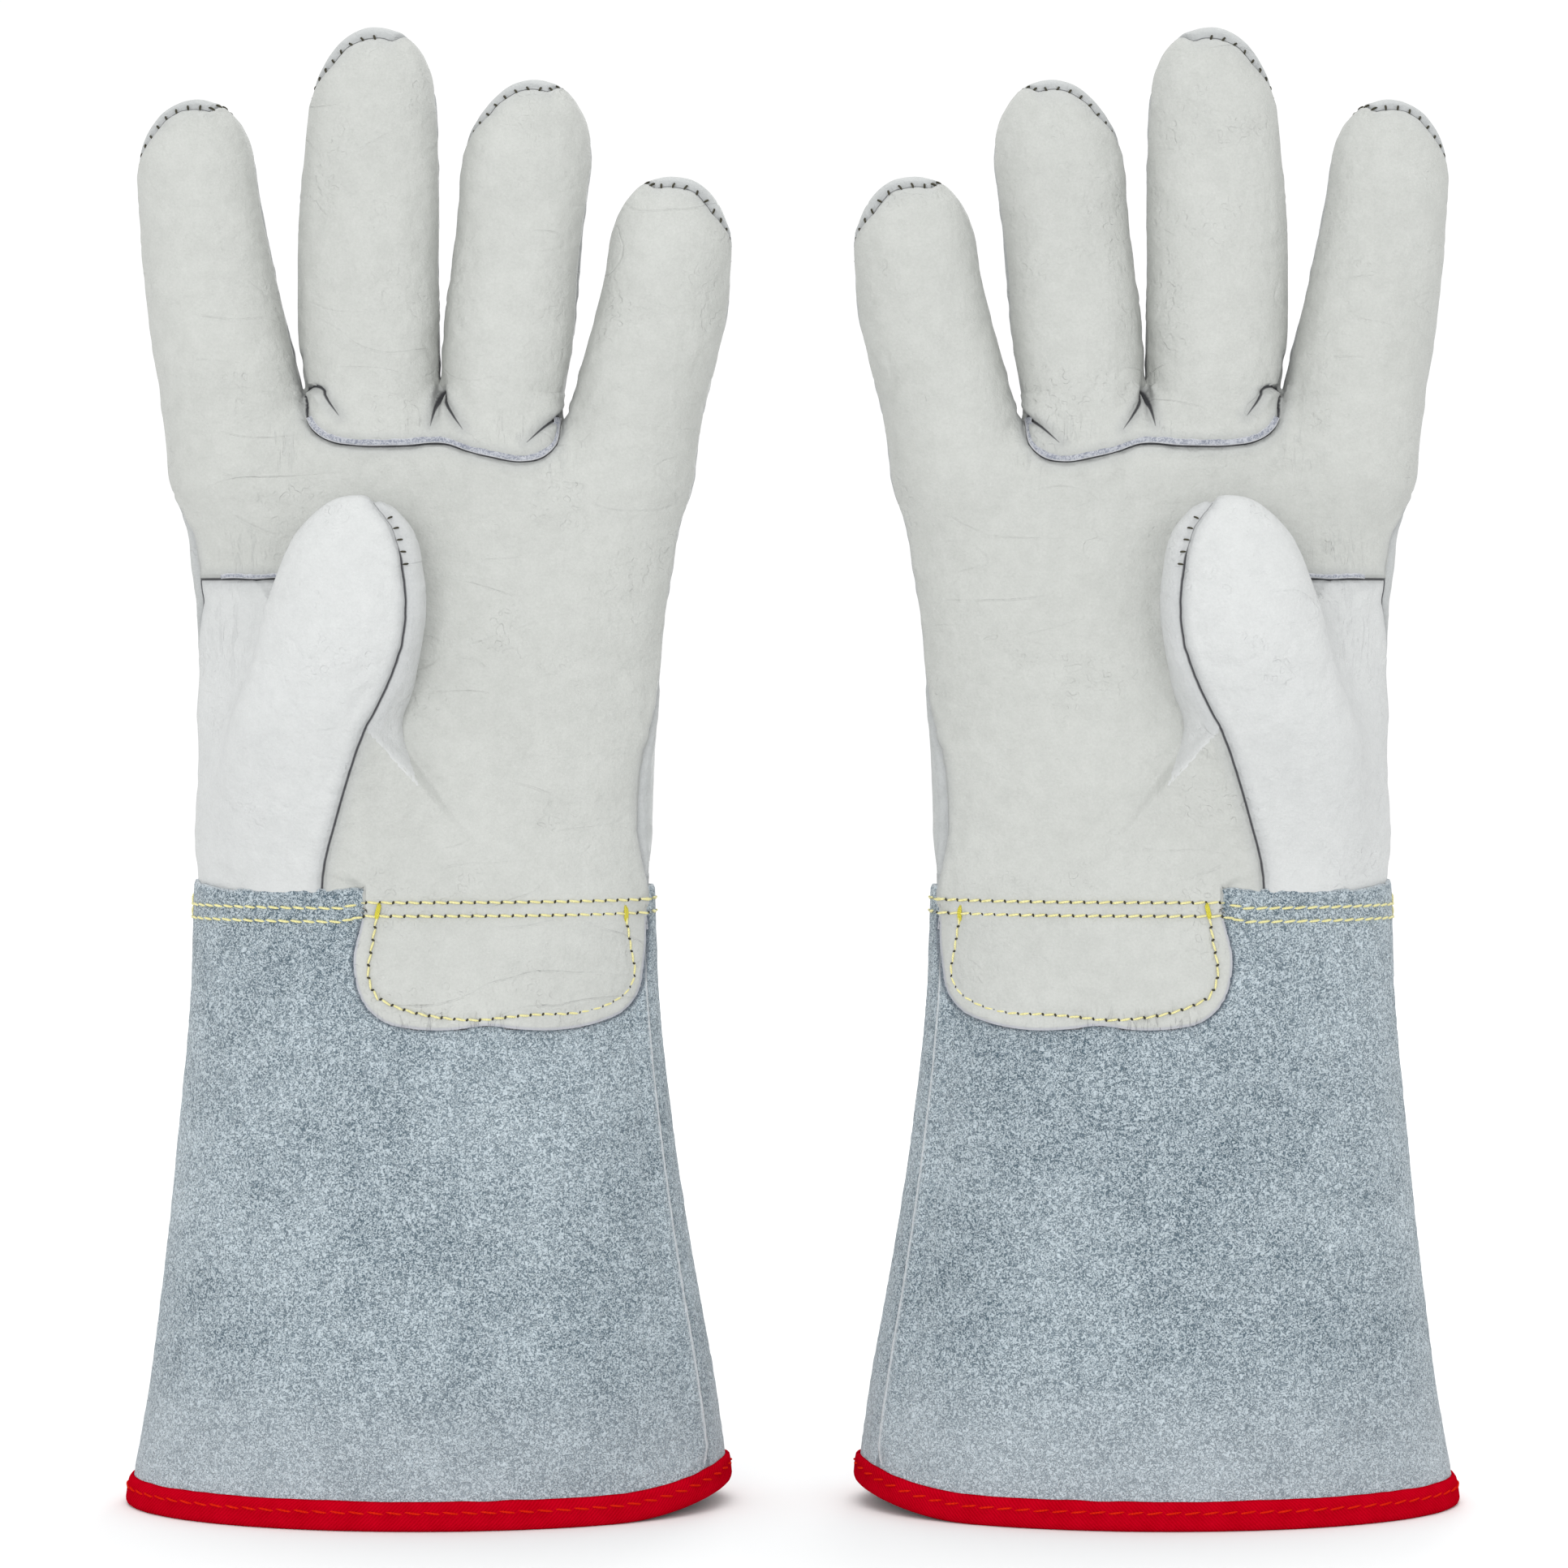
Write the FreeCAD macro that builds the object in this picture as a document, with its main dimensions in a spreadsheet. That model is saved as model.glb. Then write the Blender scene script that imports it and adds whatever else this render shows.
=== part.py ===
import FreeCAD, Part
import math
import os
import Sketcher

# A pair of gauntlet welding gloves standing upright on their cuff rims, palms facing -Y.
# The left glove is modelled part by part, and the right glove is its mirror image about X = 0.
# Every panel is a hollow shell cut from lofted sleeves, so a hand, a wrist and five fingers fit inside.

os.makedirs("parts", exist_ok=True)
doc = FreeCAD.newDocument("WeldingGloves")
sheet = doc.addObject("Spreadsheet::Sheet", "Sizes")
V = FreeCAD.Vector

# ---------------------------------------------------------------- named sizes, in mm
SIZES = {
    # leather and cloth
    "wall": 1.5,             # split leather with its laminated lining
    "lining": 0.9,           # canvas lining of the cuff
    "tape": 0.8,             # binding tape
    "tab_leather": 1.2,
    "thread": 0.45,          # how far stitching stands proud
    "clearance": 0.3,        # between pieces of different bodies
    # wrist
    "wrist_level": 175.0,
    "wrist_flex": 45.0,
    "wrist_extend": 30.0,
    # cuff trim
    "binding_height": 7.7,
    "binding_turn": 0.9,     # leather stops this far above the rim, inside the tape
    "lining_top": 160.0,
    "row_one": 163.0,
    "row_two": 158.9,
    "row_width": 0.8,
    "hem_row": 5.0,
    # fingers
    "base_flex": 65.0,
    "middle_flex": 70.0,
    "finger_wall": 1.4,
    # thumb
    "thumb_tilt": 12.0,
    "thumb_front": 44.4,
    "thumb_base_x": -124.0,
    "thumb_base_level": 228.0,
    "thumb_base_half_width": 21.6,
    "thumb_base_half_depth": 12.4,
    "thumb_length": 46.6,
    "thumb_shoulder_half_width": 20.4,
    "thumb_shoulder_half_depth": 10.6,
    "thumb_dome": 24.0,
    "thumb_seam_depth": 11.7,
    "thumb_hinge_turn": 50.0,
    "thumb_hinge_reach": 62.0,
    "gusset": 1.2,
}

# Sleeve sections: name, level, centre x, centre y, half width, half depth
CUFF = (
    ("hem", 0.0, -99.6, 0.0, 82.0, 45.0),
    ("flare", 33.0, -98.8, 0.0, 77.0, 41.2),
    ("forearm", 66.0, -99.4, 0.0, 72.0, 37.4),
    ("sleeve", 99.0, -100.1, 0.0, 67.8, 33.5),
    ("narrow", 137.0, -100.4, 0.0, 64.0, 29.6),
    ("wrist", 175.0, -100.5, 0.0, 62.6, 27.2),
)
HAND = (
    ("heel_edge", 174.0, -100.5, 0.0, 62.5, 27.2),
    ("heel", 205.0, -99.8, 0.0, 61.9, 24.6),
    ("thenar", 230.0, -99.2, 0.0, 63.0, 22.4),
    ("palm", 256.0, -98.6, 0.0, 65.8, 20.2),
    ("row", 282.0, -97.9, 0.0, 69.4, 18.0),
    ("knuckles", 308.0, -97.2, 0.0, 72.8, 16.2),
)
WING = (
    ("wing_foot", 184.0, -122.0, -13.5, 27.0, 9.0),
    ("wing_swell", 206.0, -125.0, -24.0, 26.5, 13.2),
)
# Fingers: base, middle knuckle and shoulder sections, then the tip
FINGERS = {
    "index": (
        (303.0, -153.6, 0.0, 18.0, 15.5),
        (342.0, -159.6, -1.5, 17.4, 14.5),
        (359.0, -161.6, -3.5, 15.6, 13.2),
        (381.3, -160.9, -5.0),
    ),
    "middle": (
        (303.0, -115.2, 0.0, 17.9, 15.5),
        (346.0, -114.5, -1.5, 18.8, 14.5),
        (376.5, -114.0, -4.0, 16.8, 13.4),
        (400.2, -111.6, -6.0),
    ),
    "ring": (
        (302.0, -78.6, 0.0, 16.4, 15.5),
        (343.0, -75.2, -1.5, 17.6, 14.5),
        (363.0, -72.4, -3.5, 16.6, 13.4),
        (386.5, -69.6, -5.5),
    ),
    "little": (
        (296.0, -43.2, 0.0, 17.6, 15.0),
        (327.0, -35.2, -1.5, 17.4, 14.0),
        (339.0, -33.6, -3.0, 16.2, 12.8),
        (360.6, -32.6, -4.5),
    ),
}
# Strips of the hand that each finger rises from: left edge, right edge
BASE_SPAN = {
    "index": (-176.0, -134.2),
    "middle": (-134.2, -96.1),
    "ring": (-96.1, -61.6),
    "little": (-61.6, -20.0),
}
DOME = (0.45, 0.74, 0.92, 0.99)     # shares of the fingertip's height where its rounding is cut

for name, rows in (("cuff", CUFF), ("hand", HAND), ("wing", WING)):
    for label, level, x, y, wide, deep in rows:
        SIZES.update({f"{label}_level": level, f"{label}_x": x, f"{label}_y": y,
                      f"{label}_half_width": wide, f"{label}_half_depth": deep})
for finger, rows in FINGERS.items():
    for label, row in zip(("base", "knuckle", "shoulder"), rows):
        for key, value in zip(("level", "x", "y", "half_width", "half_depth"), row):
            SIZES[f"{finger}_{label}_{key}"] = value
    for key, value in zip(("level", "x", "y"), rows[3]):
        SIZES[f"{finger}_tip_{key}"] = value

for number, (alias, value) in enumerate(SIZES.items(), start=1):
    sheet.set(f"A{number}", alias)
    sheet.set(f"B{number}", str(value))
    sheet.setAlias(f"B{number}", alias)
doc.recompute()


def size(alias):
    return f"Sizes.{alias}"


# ---------------------------------------------------------------- building blocks
def ellipse(name, x, y, z, wide, deep, tilt="0"):
    """A horizontal ellipse, turned about Y by tilt, with every value an expression."""
    e = doc.addObject("Part::Ellipse", name)
    e.MajorRadius, e.MinorRadius = 20, 10
    e.setExpression("MinorRadius", deep)
    e.setExpression("MajorRadius", wide)
    e.Placement.Rotation = FreeCAD.Rotation(V(0, 1, 0), 0)
    e.setExpression("Placement.Base.x", x)
    e.setExpression("Placement.Base.y", y)
    e.setExpression("Placement.Base.z", z)
    if tilt != "0":
        e.Placement.Rotation = FreeCAD.Rotation(V(0, 1, 0), SIZES[tilt])
        e.setExpression("Placement.Rotation.Angle", size(tilt))
    return e


def loft(name, sections):
    solid = doc.addObject("Part::Loft", name)
    solid.Sections = sections
    solid.Solid, solid.Ruled = True, True
    return solid


def sleeve(name, rows, grow):
    """A solid through a row of named sections, each grown by the same amount."""
    return loft(name, [
        ellipse(f"{name}_{label}", size(f"{label}_x"), size(f"{label}_y"), size(f"{label}_level"),
                f"{size(label + '_half_width')} + ({grow})", f"{size(label + '_half_depth')} + ({grow})")
        for label, *_ in rows
    ])


def box(name, x, y, z, lx, ly, lz):
    """A box from its low corner and its lengths, each an expression."""
    b = doc.addObject("Part::Box", name)
    for prop, value in (("Length", lx), ("Width", ly), ("Height", lz),
                        ("Placement.Base.x", x), ("Placement.Base.y", y), ("Placement.Base.z", z)):
        b.setExpression(prop, value)
    return b


def cut(name, base, tool):
    c = doc.addObject("Part::Cut", name)
    c.Base, c.Tool, c.Refine = base, tool, False
    return c


def common(name, one, other):
    c = doc.addObject("Part::Common", name)
    c.Base, c.Tool, c.Refine = one, other, False
    return c


def fuse(name, *shapes):
    f = doc.addObject("Part::MultiFuse", name)
    f.Shapes, f.Refine = list(shapes), False
    return f


def notch(name, left, right, y, z, angle, side=-1):
    """A V-shaped notch with its point on a hinge axis, opening towards -Y, or +Y when side is 1."""
    w = doc.addObject("Part::Wedge", name)
    w.Xmin, w.Xmax, w.X2min, w.X2max = 0, 1, 0, 1
    reach = 60
    slope = f"{reach} * tan(({angle}) / 2)"
    for prop, value in (("Xmax", f"({right}) - ({left})"), ("X2max", f"({right}) - ({left})")):
        w.setExpression(prop, value)
    w.Ymin, w.Ymax = -reach, 0
    w.setExpression("Zmin", f"-({slope}) - {size('clearance')} / 2")
    w.setExpression("Zmax", f"({slope}) + {size('clearance')} / 2")
    w.setExpression("Z2min", f"-{size('clearance')} / 2")
    w.setExpression("Z2max", f"{size('clearance')} / 2")
    if side > 0:
        w.Placement.Rotation = FreeCAD.Rotation(V(0, 0, 1), 180)
        w.setExpression("Placement.Base.x", right)
    else:
        w.setExpression("Placement.Base.x", left)
    w.setExpression("Placement.Base.y", y)
    w.setExpression("Placement.Base.z", z)
    return w


def plate(name, outline):
    """A PartDesign body: an outline in the XZ plane, padded both ways along Y."""
    body = doc.addObject("PartDesign::Body", name)
    sketch = body.newObject("Sketcher::SketchObject", f"{name}_outline")
    plane = [f for f in body.Origin.OriginFeatures if f.Role == "XZ_Plane"][0]
    sketch.AttachmentSupport, sketch.MapMode = (plane, [""]), "FlatFace"
    for (x1, z1), (x2, z2) in zip(outline, outline[1:] + outline[:1]):
        sketch.addGeometry(Part.LineSegment(V(x1, z1, 0), V(x2, z2, 0)), False)
    count = len(outline)
    for i in range(count):
        sketch.addConstraint(Sketcher.Constraint("Coincident", i, 2, (i + 1) % count, 1))
    pad = body.newObject("PartDesign::Pad", f"{name}_pad")
    pad.Profile = sketch
    pad.Length, pad.Midplane = 160, True
    body.Tip = pad
    return body


def ribbon(points, width):
    """The outline of a strip of one width that follows points in the XZ plane."""
    above, below = [], []
    for i, (x, z) in enumerate(points):
        (xa, za), (xb, zb) = points[max(i - 1, 0)], points[min(i + 1, len(points) - 1)]
        run = math.hypot(xb - xa, zb - za)
        nx, nz = -(zb - za) / run * width / 2, (xb - xa) / run * width / 2
        above.append((x + nx, z + nz))
        below.append((x - nx, z - nz))
    return above + below[::-1]


front = box("FrontHalf", "-300", "-100", "-50", "600", "100", "600")
back = box("BackHalf", "-300", "0", "-50", "600", "100", "600")
left_parts = []


def finish(obj, label):
    """Name an object as a part of the left glove."""
    obj.Label = f"left_{label}"
    left_parts.append((label, obj))
    return obj


# ---------------------------------------------------------------- cuff
wall, tape = size("wall"), size("tape")
cuff_outer = sleeve("CuffOuter", CUFF, "0")
cuff_inner = sleeve("CuffInner", CUFF, f"-{wall}")
cuff_shell = cut("CuffShell", cuff_outer, cuff_inner)
wrist = size("wrist_level")
wrist_front = notch("WristFront", "-200", "0", "0", wrist, size("wrist_flex"))
wrist_back = notch("WristBack", "-200", "0", "0", wrist, size("wrist_extend"), side=1)
wrist_gap = fuse("WristGap", wrist_front, wrist_back)
cuff_span = box("CuffSpan", "-300", "-100", size("binding_turn"), "600", "200",
                f"{wrist} - {size('binding_turn')}")
cuff_body = common("CuffBody", cut("CuffNotched", cuff_shell, wrist_gap), cuff_span)
cuff_front = finish(common("CuffFront", cuff_body, front), "cuff_front")
cuff_back = finish(common("CuffBack", cuff_body, back), "cuff_back")

lining_shell = cut("LiningShell", sleeve("LiningOuter", CUFF, f"-{wall}"),
                   sleeve("LiningInner", CUFF, f"-{wall} - {size('lining')}"))
lining_span = box("LiningSpan", "-300", "-100", size("binding_height"), "600", "200",
                  f"{size('lining_top')} - {size('binding_height')}")
finish(common("CuffLining", lining_shell, lining_span), "cuff_lining")

tape_outer = sleeve("TapeOuter", CUFF, tape)
tape_inner = sleeve("TapeInner", CUFF, f"-{wall} - {tape}")
tape_span = box("TapeSpan", "-300", "-100", "0", "600", "200", size("binding_height"))
tape_ring = common("TapeRing", cut("TapeShell", tape_outer, tape_inner), tape_span)
cuff_binding = finish(cut("CuffBinding", tape_ring, cuff_body), "cuff_binding")

thread = size("thread")
hem_thread = cut("HemThreadShell", sleeve("HemThreadOuter", CUFF, f"{tape} + {thread}"), tape_outer)
hem_row = box("HemRow", "-300", "-100", f"{size('hem_row')} - {size('row_width')} / 2",
              "600", "200", size("row_width"))
finish(common("BindingStitching", hem_thread, hem_row), "binding_stitching")

# The palm leather runs on over the cuff as a rounded tab.
TAB = [(-115.6, 163.4), (-117.4, 157.4), (-119.0, 148.0), (-119.2, 143.0), (-118.2, 137.0),
       (-113.8, 131.8), (-107.0, 129.0), (-98.6, 128.2), (-82.6, 129.2), (-67.2, 128.2),
       (-56.0, 129.6), (-48.4, 132.0), (-44.2, 135.4), (-41.6, 139.8), (-40.5, 146.6), (-40.2, 163.4)]
tab_region = plate("TabRegion", TAB)
tab_outer = sleeve("TabOuter", CUFF, size("tab_leather"))
tab_shell = cut("TabShell", tab_outer, cuff_outer)
tab_front = common("TabFront", common("TabLeather", tab_shell, tab_region), front)
palm_tab = finish(cut("PalmTab", tab_front, wrist_gap), "palm_tab")

# Two rows of stitching run round the wrist, and one row follows the tab's edge.
rows_on_cuff = cut("RowShell", sleeve("RowOuter", CUFF, thread), cuff_outer)
rows_on_tab = cut("TabRowShell", sleeve("TabRowOuter", CUFF, f"{size('tab_leather')} + {thread}"), tab_outer)
row_bands = [box(f"Band_{row}", "-300", "-100", f"{size(row)} - {size('row_width')} / 2",
                 "600", "200", size("row_width")) for row in ("row_one", "row_two")]
bands = fuse("RowBands", *row_bands)
TAB_ROW = [(-112.8, 161.0), (-113.8, 152.0), (-115.2, 144.4), (-113.0, 137.0), (-109.4, 135.0),
           (-103.6, 133.2), (-91.9, 131.2), (-85.6, 131.0), (-68.4, 132.1), (-56.0, 133.0),
           (-49.0, 136.6), (-45.2, 139.8), (-43.4, 143.0), (-44.0, 149.8), (-45.2, 161.0)]
tab_row = plate("TabRow", ribbon(TAB_ROW, SIZES["row_width"]))
on_tab = common("OnTab", rows_on_tab, common("TabThreadFront", fuse("TabThread", bands, tab_row), front))
on_cuff = cut("OnCuff", common("RowsRound", rows_on_cuff, bands),
              common("TabCover", tab_region, front))
stitch_all = fuse("CuffStitchAll", common("OnTabTrim", on_tab, tab_region), on_cuff)
finish(cut("CuffStitching", stitch_all, wrist_gap), "cuff_stitching")

# ---------------------------------------------------------------- hand
THUMB_RISE = math.cos(math.radians(SIZES["thumb_tilt"]))
THUMB_RUN = math.sin(math.radians(SIZES["thumb_tilt"]))


def thumb_tube(name, skin, rise):
    """The swelling of the palm and the thumb that grows from it, drawn in by skin."""
    rings = [
        ellipse(f"{name}_{label}", size(f"{label}_x"), size(f"{label}_y"), f"{size(label + '_level')} + {rise}",
                f"{size(label + '_half_width')} - {skin}", f"{size(label + '_half_depth')} - {skin}")
        for label, *_ in WING
    ]
    stations = [("0", 1, "base"), (f"{size('thumb_length')} - {size('thumb_dome')}", 1, "shoulder")]
    stations += [(f"{size('thumb_length')} - {size('thumb_dome')} + ({size('thumb_dome')} - {skin}) * {share}",
                  math.sqrt(1 - share ** 2.2), "shoulder") for share in DOME]
    for i, (along, narrow, kind) in enumerate(stations):
        wide, deep = size(f"thumb_{kind}_half_width"), size(f"thumb_{kind}_half_depth")
        rings.append(ellipse(
            f"{name}_{i}", f"{size('thumb_base_x')} + ({along}) * {THUMB_RUN}",
            f"{deep} - {size('thumb_front')}", f"{size('thumb_base_level')} + ({along}) * {THUMB_RISE}",
            f"({wide} - {skin}) * {narrow}", f"({deep} - {skin}) * {narrow}", tilt="thumb_tilt"))
    return loft(name, rings)


def beyond_hinge(name, low, high):
    """A block between two distances along the thumb's lifting direction, square to its hinge."""
    turn = size("thumb_hinge_turn")
    block = doc.addObject("Part::Box", name)
    block.Placement.Rotation = FreeCAD.Rotation(V(0, 1, 0), SIZES["thumb_hinge_turn"])
    for prop, value in (("Placement.Rotation.Angle", turn),
                        ("Length", "1000"), ("Width", "400"), ("Height", f"({high}) - ({low})"),
                        ("Placement.Base.x", f"-500 * cos({turn}) + ({low}) * sin({turn})"),
                        ("Placement.Base.y", "-200"),
                        ("Placement.Base.z", f"500 * sin({turn}) + ({low}) * cos({turn})")):
        block.setExpression(prop, value)
    return block


palm_outer, palm_inner = sleeve("PalmOuter", HAND, "0"), sleeve("PalmInner", HAND, f"-{wall}")
thumb_outer, thumb_inner = thumb_tube("ThumbOuter", "0", "0"), thumb_tube("ThumbInner", wall, "1")
thumb_shell = cut("ThumbShell", thumb_outer, thumb_inner)
hinge_reach, half_gap = size("thumb_hinge_reach"), f"{size('clearance')} / 2"
below_hinge = beyond_hinge("BelowHinge", "-200", f"{hinge_reach} - {half_gap}")
above_hinge = beyond_hinge("AboveHinge", f"{hinge_reach} + {half_gap}", f"{hinge_reach} + 100")
wing_outer = common("WingOuter", thumb_outer, below_hinge)
wing_wall = cut("WingWall", cut("WingShell", wing_outer, thumb_inner), palm_inner)

steps = []
for finger, (left, right) in BASE_SPAN.items():
    y, z = size(f"{finger}_base_y"), size(f"{finger}_base_level")
    lid = box(f"Lid_{finger}", f"{left}", "-100", f"{z} - {size('clearance')} / 2",
              f"{right - left}", "200", "60")
    steps += [lid, notch(f"BaseNotch_{finger}", f"{left}", f"{right}", y, z, size("base_flex"))]
hand_low = box("HandSpan", "-300", "-100", wrist, "600", "200", "200")
hand_steps = fuse("HandSteps", wrist_gap, *steps)

# The wing panel covers the thumb side of the palm, up to the crease below the index finger.
WING_OUTLINE = [(-190.0, 150.0), (-126.8, 150.0), (-126.8, 174.6), (-121.9, 193.1), (-112.3, 215.9),
                (-105.0, 226.0), (-105.0, 236.0), (-142.0, 236.0), (-142.0, 250.8), (-190.0, 250.8)]
wing_region = plate("WingRegion", WING_OUTLINE)


def hand_wall(name, solid, half_space, hole=None):
    """One panel of the hand: a solid of the palm, hollowed, halved and trimmed at the joints."""
    panel = cut(f"{name}Hollow", common(f"{name}Half", solid, half_space), palm_inner)
    if hole:
        panel = cut(f"{name}Hole", panel, hole)
    return cut(f"{name}Trimmed", common(f"{name}Above", panel, hand_low), hand_steps)


finish(hand_wall("Palm", cut("PalmOnly", palm_outer, wing_region), front, wing_outer), "palm_panel")
wing_side = hand_wall("WingSide", common("WingSideSolid", palm_outer, wing_region), front, wing_outer)
wing_top = cut("WingTrimmed", common("WingAbove", wing_wall, hand_low), wrist_gap)
thumb_wing = doc.addObject("Part::Compound", "ThumbWing")
thumb_wing.Links = [wing_side, wing_top]
finish(thumb_wing, "thumb_wing")
finish(hand_wall("Back", palm_outer, back), "back_panel")

# A raw-edged welt is sewn along the foot of the two middle fingers.
WELT = [(-131.0, 289.4), (-127.0, 288.6), (-119.1, 287.4), (-106.7, 287.5), (-93.6, 287.6),
        (-84.2, 285.0), (-72.9, 283.0), (-68.9, 283.8), (-65.0, 286.4)]
welt_region = plate("WeltRegion", ribbon(WELT, 1.9))
welt_shell = cut("WeltShell", sleeve("WeltOuter", HAND, "0.9"), sleeve("WeltInner", HAND, "0"))
finish(common("BaseWelt", common("WeltStrip", welt_shell, welt_region), front), "base_welt")

# Folded gussets close the hand between neighbouring fingers.
gussets = [box(f"Gusset_{i}", f"{BASE_SPAN[f][1]} - {size('gusset')} / 2", "-100", f"{level}",
               size("gusset"), "200", "40")
           for i, (f, level) in enumerate((("index", 284.0), ("middle", 284.0), ("ring", 284.0)))]
gusset_fill = common("GussetFill", fuse("GussetPlates", *gussets), palm_inner)
finish(cut("FingerGussets", gusset_fill, fuse("GussetSteps", *steps)), "finger_gussets")

# ---------------------------------------------------------------- fingers
for finger in FINGERS:
    def of(key):
        return size(f"{finger}_{key}")

    def finger_solid(name, skin):
        """The finger's solid, drawn in by skin."""
        rings = [ellipse(f"{name}_{label}", of(f"{label}_x"), of(f"{label}_y"), of(f"{label}_level"),
                         f"{of(label + '_half_width')} - {skin}", f"{of(label + '_half_depth')} - {skin}")
                 for label in ("base", "knuckle", "shoulder")]
        for i, share in enumerate(DOME):
            narrow = math.sqrt(1 - share ** 2.2)
            rings.append(ellipse(
                f"{name}_dome{i}",
                f"{of('shoulder_x')} + ({of('tip_x')} - {of('shoulder_x')}) * {share}",
                f"{of('shoulder_y')} + ({of('tip_y')} - {of('shoulder_y')}) * {share}",
                f"{of('shoulder_level')} + ({of('tip_level')} - {skin} - {of('shoulder_level')}) * {share}",
                f"({of('shoulder_half_width')} - {skin}) * {narrow}",
                f"({of('shoulder_half_depth')} - {skin}) * {narrow}"))
        return loft(name, rings)

    title = finger.capitalize()
    shell = cut(f"{title}Shell", finger_solid(f"{title}Outer", "0"),
                finger_solid(f"{title}Inner", size("finger_wall")))
    half = f"{size('clearance')} / 2"
    foot = notch(f"{title}Foot", "-200", "0", of("base_y"), of("base_level"), size("base_flex"))
    bend = notch(f"{title}Bend", "-200", "0", of("knuckle_y"), of("knuckle_level"), size("middle_flex"))
    sleeve_cut = cut(f"{title}Notched", shell, fuse(f"{title}Notches", foot, bend))
    spans = (
        ("lower", f"{of('base_level')} + {half}", f"{of('knuckle_level')} - {of('base_level')} - {size('clearance')}"),
        ("upper", f"{of('knuckle_level')} + {half}", "90"),
    )
    for segment, level, height in spans:
        span = box(f"{title}Span_{segment}", "-300", "-100", level, "600", "200", height)
        piece = common(f"{title}Piece_{segment}", sleeve_cut, span)
        for side, half_space in (("front", front), ("back", back)):
            finish(common(f"{title}_{side}_{segment}", piece, half_space), f"{finger}_{side}_{segment}")

# ---------------------------------------------------------------- thumb
thumb_middle = f"{size('thumb_seam_depth')} - {size('thumb_front')}"
thumb_face = box("ThumbFace", "-300", "-100", "-50", "600", f"100 + {thumb_middle}", "600")
thumb_rear = box("ThumbRear", "-300", thumb_middle, "-50", "600", "100", "600")
for panel, half_space, label in (("ThumbFrontPanel", thumb_face, "thumb_front"),
                                 ("ThumbBackPanel", thumb_rear, "thumb_back")):
    region = common(f"{panel}Region", half_space, above_hinge)
    finish(common(panel, thumb_shell, region), label)

# ---------------------------------------------------------------- right glove
doc.recompute()
right_parts = []
for label, source in left_parts:
    mirrored = doc.addObject("Part::Mirroring", f"Right_{label}")
    mirrored.Source = source
    mirrored.Base, mirrored.Normal = V(0, 0, 0), V(1, 0, 0)
    mirrored.Label = f"right_{label}"
    right_parts.append(mirrored)
doc.recompute()

# ---------------------------------------------------------------- checks and export
for obj in doc.Objects:
    if any(word in obj.State for word in ("Invalid", "Error")):
        raise RuntimeError(f"{obj.Name} did not rebuild: {obj.State}")
for obj in [source for _, source in left_parts] + right_parts:
    shape = obj.Shape
    if shape.isNull() or not shape.isValid() or not shape.Solids or shape.Volume < 1:
        raise RuntimeError(f"{obj.Label} is not a valid solid")
    shape.exportStep(os.path.join("parts", f"{obj.Label}.step"))
    limits = shape.optimalBoundingBox()
    print(f"{obj.Label:32s} solids {len(shape.Solids)} volume {shape.Volume:9.1f} "
          f"x {limits.XMin:7.1f} {limits.XMax:7.1f} y {limits.YMin:6.1f} {limits.YMax:6.1f} "
          f"z {limits.ZMin:6.1f} {limits.ZMax:6.1f}")
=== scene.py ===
import math

import bpy
import numpy as np
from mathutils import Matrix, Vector


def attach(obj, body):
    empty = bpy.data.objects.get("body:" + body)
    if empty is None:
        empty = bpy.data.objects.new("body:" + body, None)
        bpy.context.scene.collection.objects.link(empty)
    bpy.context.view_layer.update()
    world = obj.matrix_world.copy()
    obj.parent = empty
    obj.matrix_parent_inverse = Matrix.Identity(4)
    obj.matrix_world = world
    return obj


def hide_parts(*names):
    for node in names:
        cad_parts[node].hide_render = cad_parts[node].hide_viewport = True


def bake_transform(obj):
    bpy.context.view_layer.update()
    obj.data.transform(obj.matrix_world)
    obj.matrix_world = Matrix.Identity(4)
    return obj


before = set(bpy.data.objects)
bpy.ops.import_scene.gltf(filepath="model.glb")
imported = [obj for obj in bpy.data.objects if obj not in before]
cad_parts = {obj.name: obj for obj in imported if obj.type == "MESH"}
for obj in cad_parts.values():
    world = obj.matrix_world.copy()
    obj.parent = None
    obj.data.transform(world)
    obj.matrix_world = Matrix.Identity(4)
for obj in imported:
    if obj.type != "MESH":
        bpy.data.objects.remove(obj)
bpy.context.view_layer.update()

# The left glove is modelled in millimetres, in the CAD's frame, and its mirror image is the right glove.
MM = 0.001
SIDES = (("left", 1.0), ("right", -1.0))
STEP = 1.1        # grid step of the hand's mesh, in mm
AWAY = 9.0                               # a distance in mm that no tint reaches
made = {}                                # name: object


# ------------ small mathematics
def along(rows, t):
    """Smooth values between stations: rows of (position, value, ...)."""
    rows = np.array(rows, float)
    at, val = rows[:, 0], rows[:, 1:]
    slope = np.gradient(val, at, axis=0)
    t = np.clip(t, at[0], at[-1])
    i = np.clip(np.searchsorted(at, t, side="right") - 1, 0, len(at) - 2)
    h = at[i + 1] - at[i]
    s = (t - at[i]) / h
    return [(1 + 2 * s) * (1 - s) ** 2 * val[i, c] + s * (1 - s) ** 2 * h * slope[i, c]
            + s * s * (3 - 2 * s) * val[i + 1, c] + s * s * (s - 1) * h * slope[i + 1, c]
            for c in range(val.shape[1])]


def ramp(lo, hi, x):
    """Rises smoothly from 0 at lo to 1 at hi."""
    s = np.clip((x - lo) / (hi - lo), 0, 1)
    return s * s * (3 - 2 * s)


def bell(distance, width):
    """1 at a line, fading to 0 a few widths away."""
    return np.exp(-(distance / width) ** 2)


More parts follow.
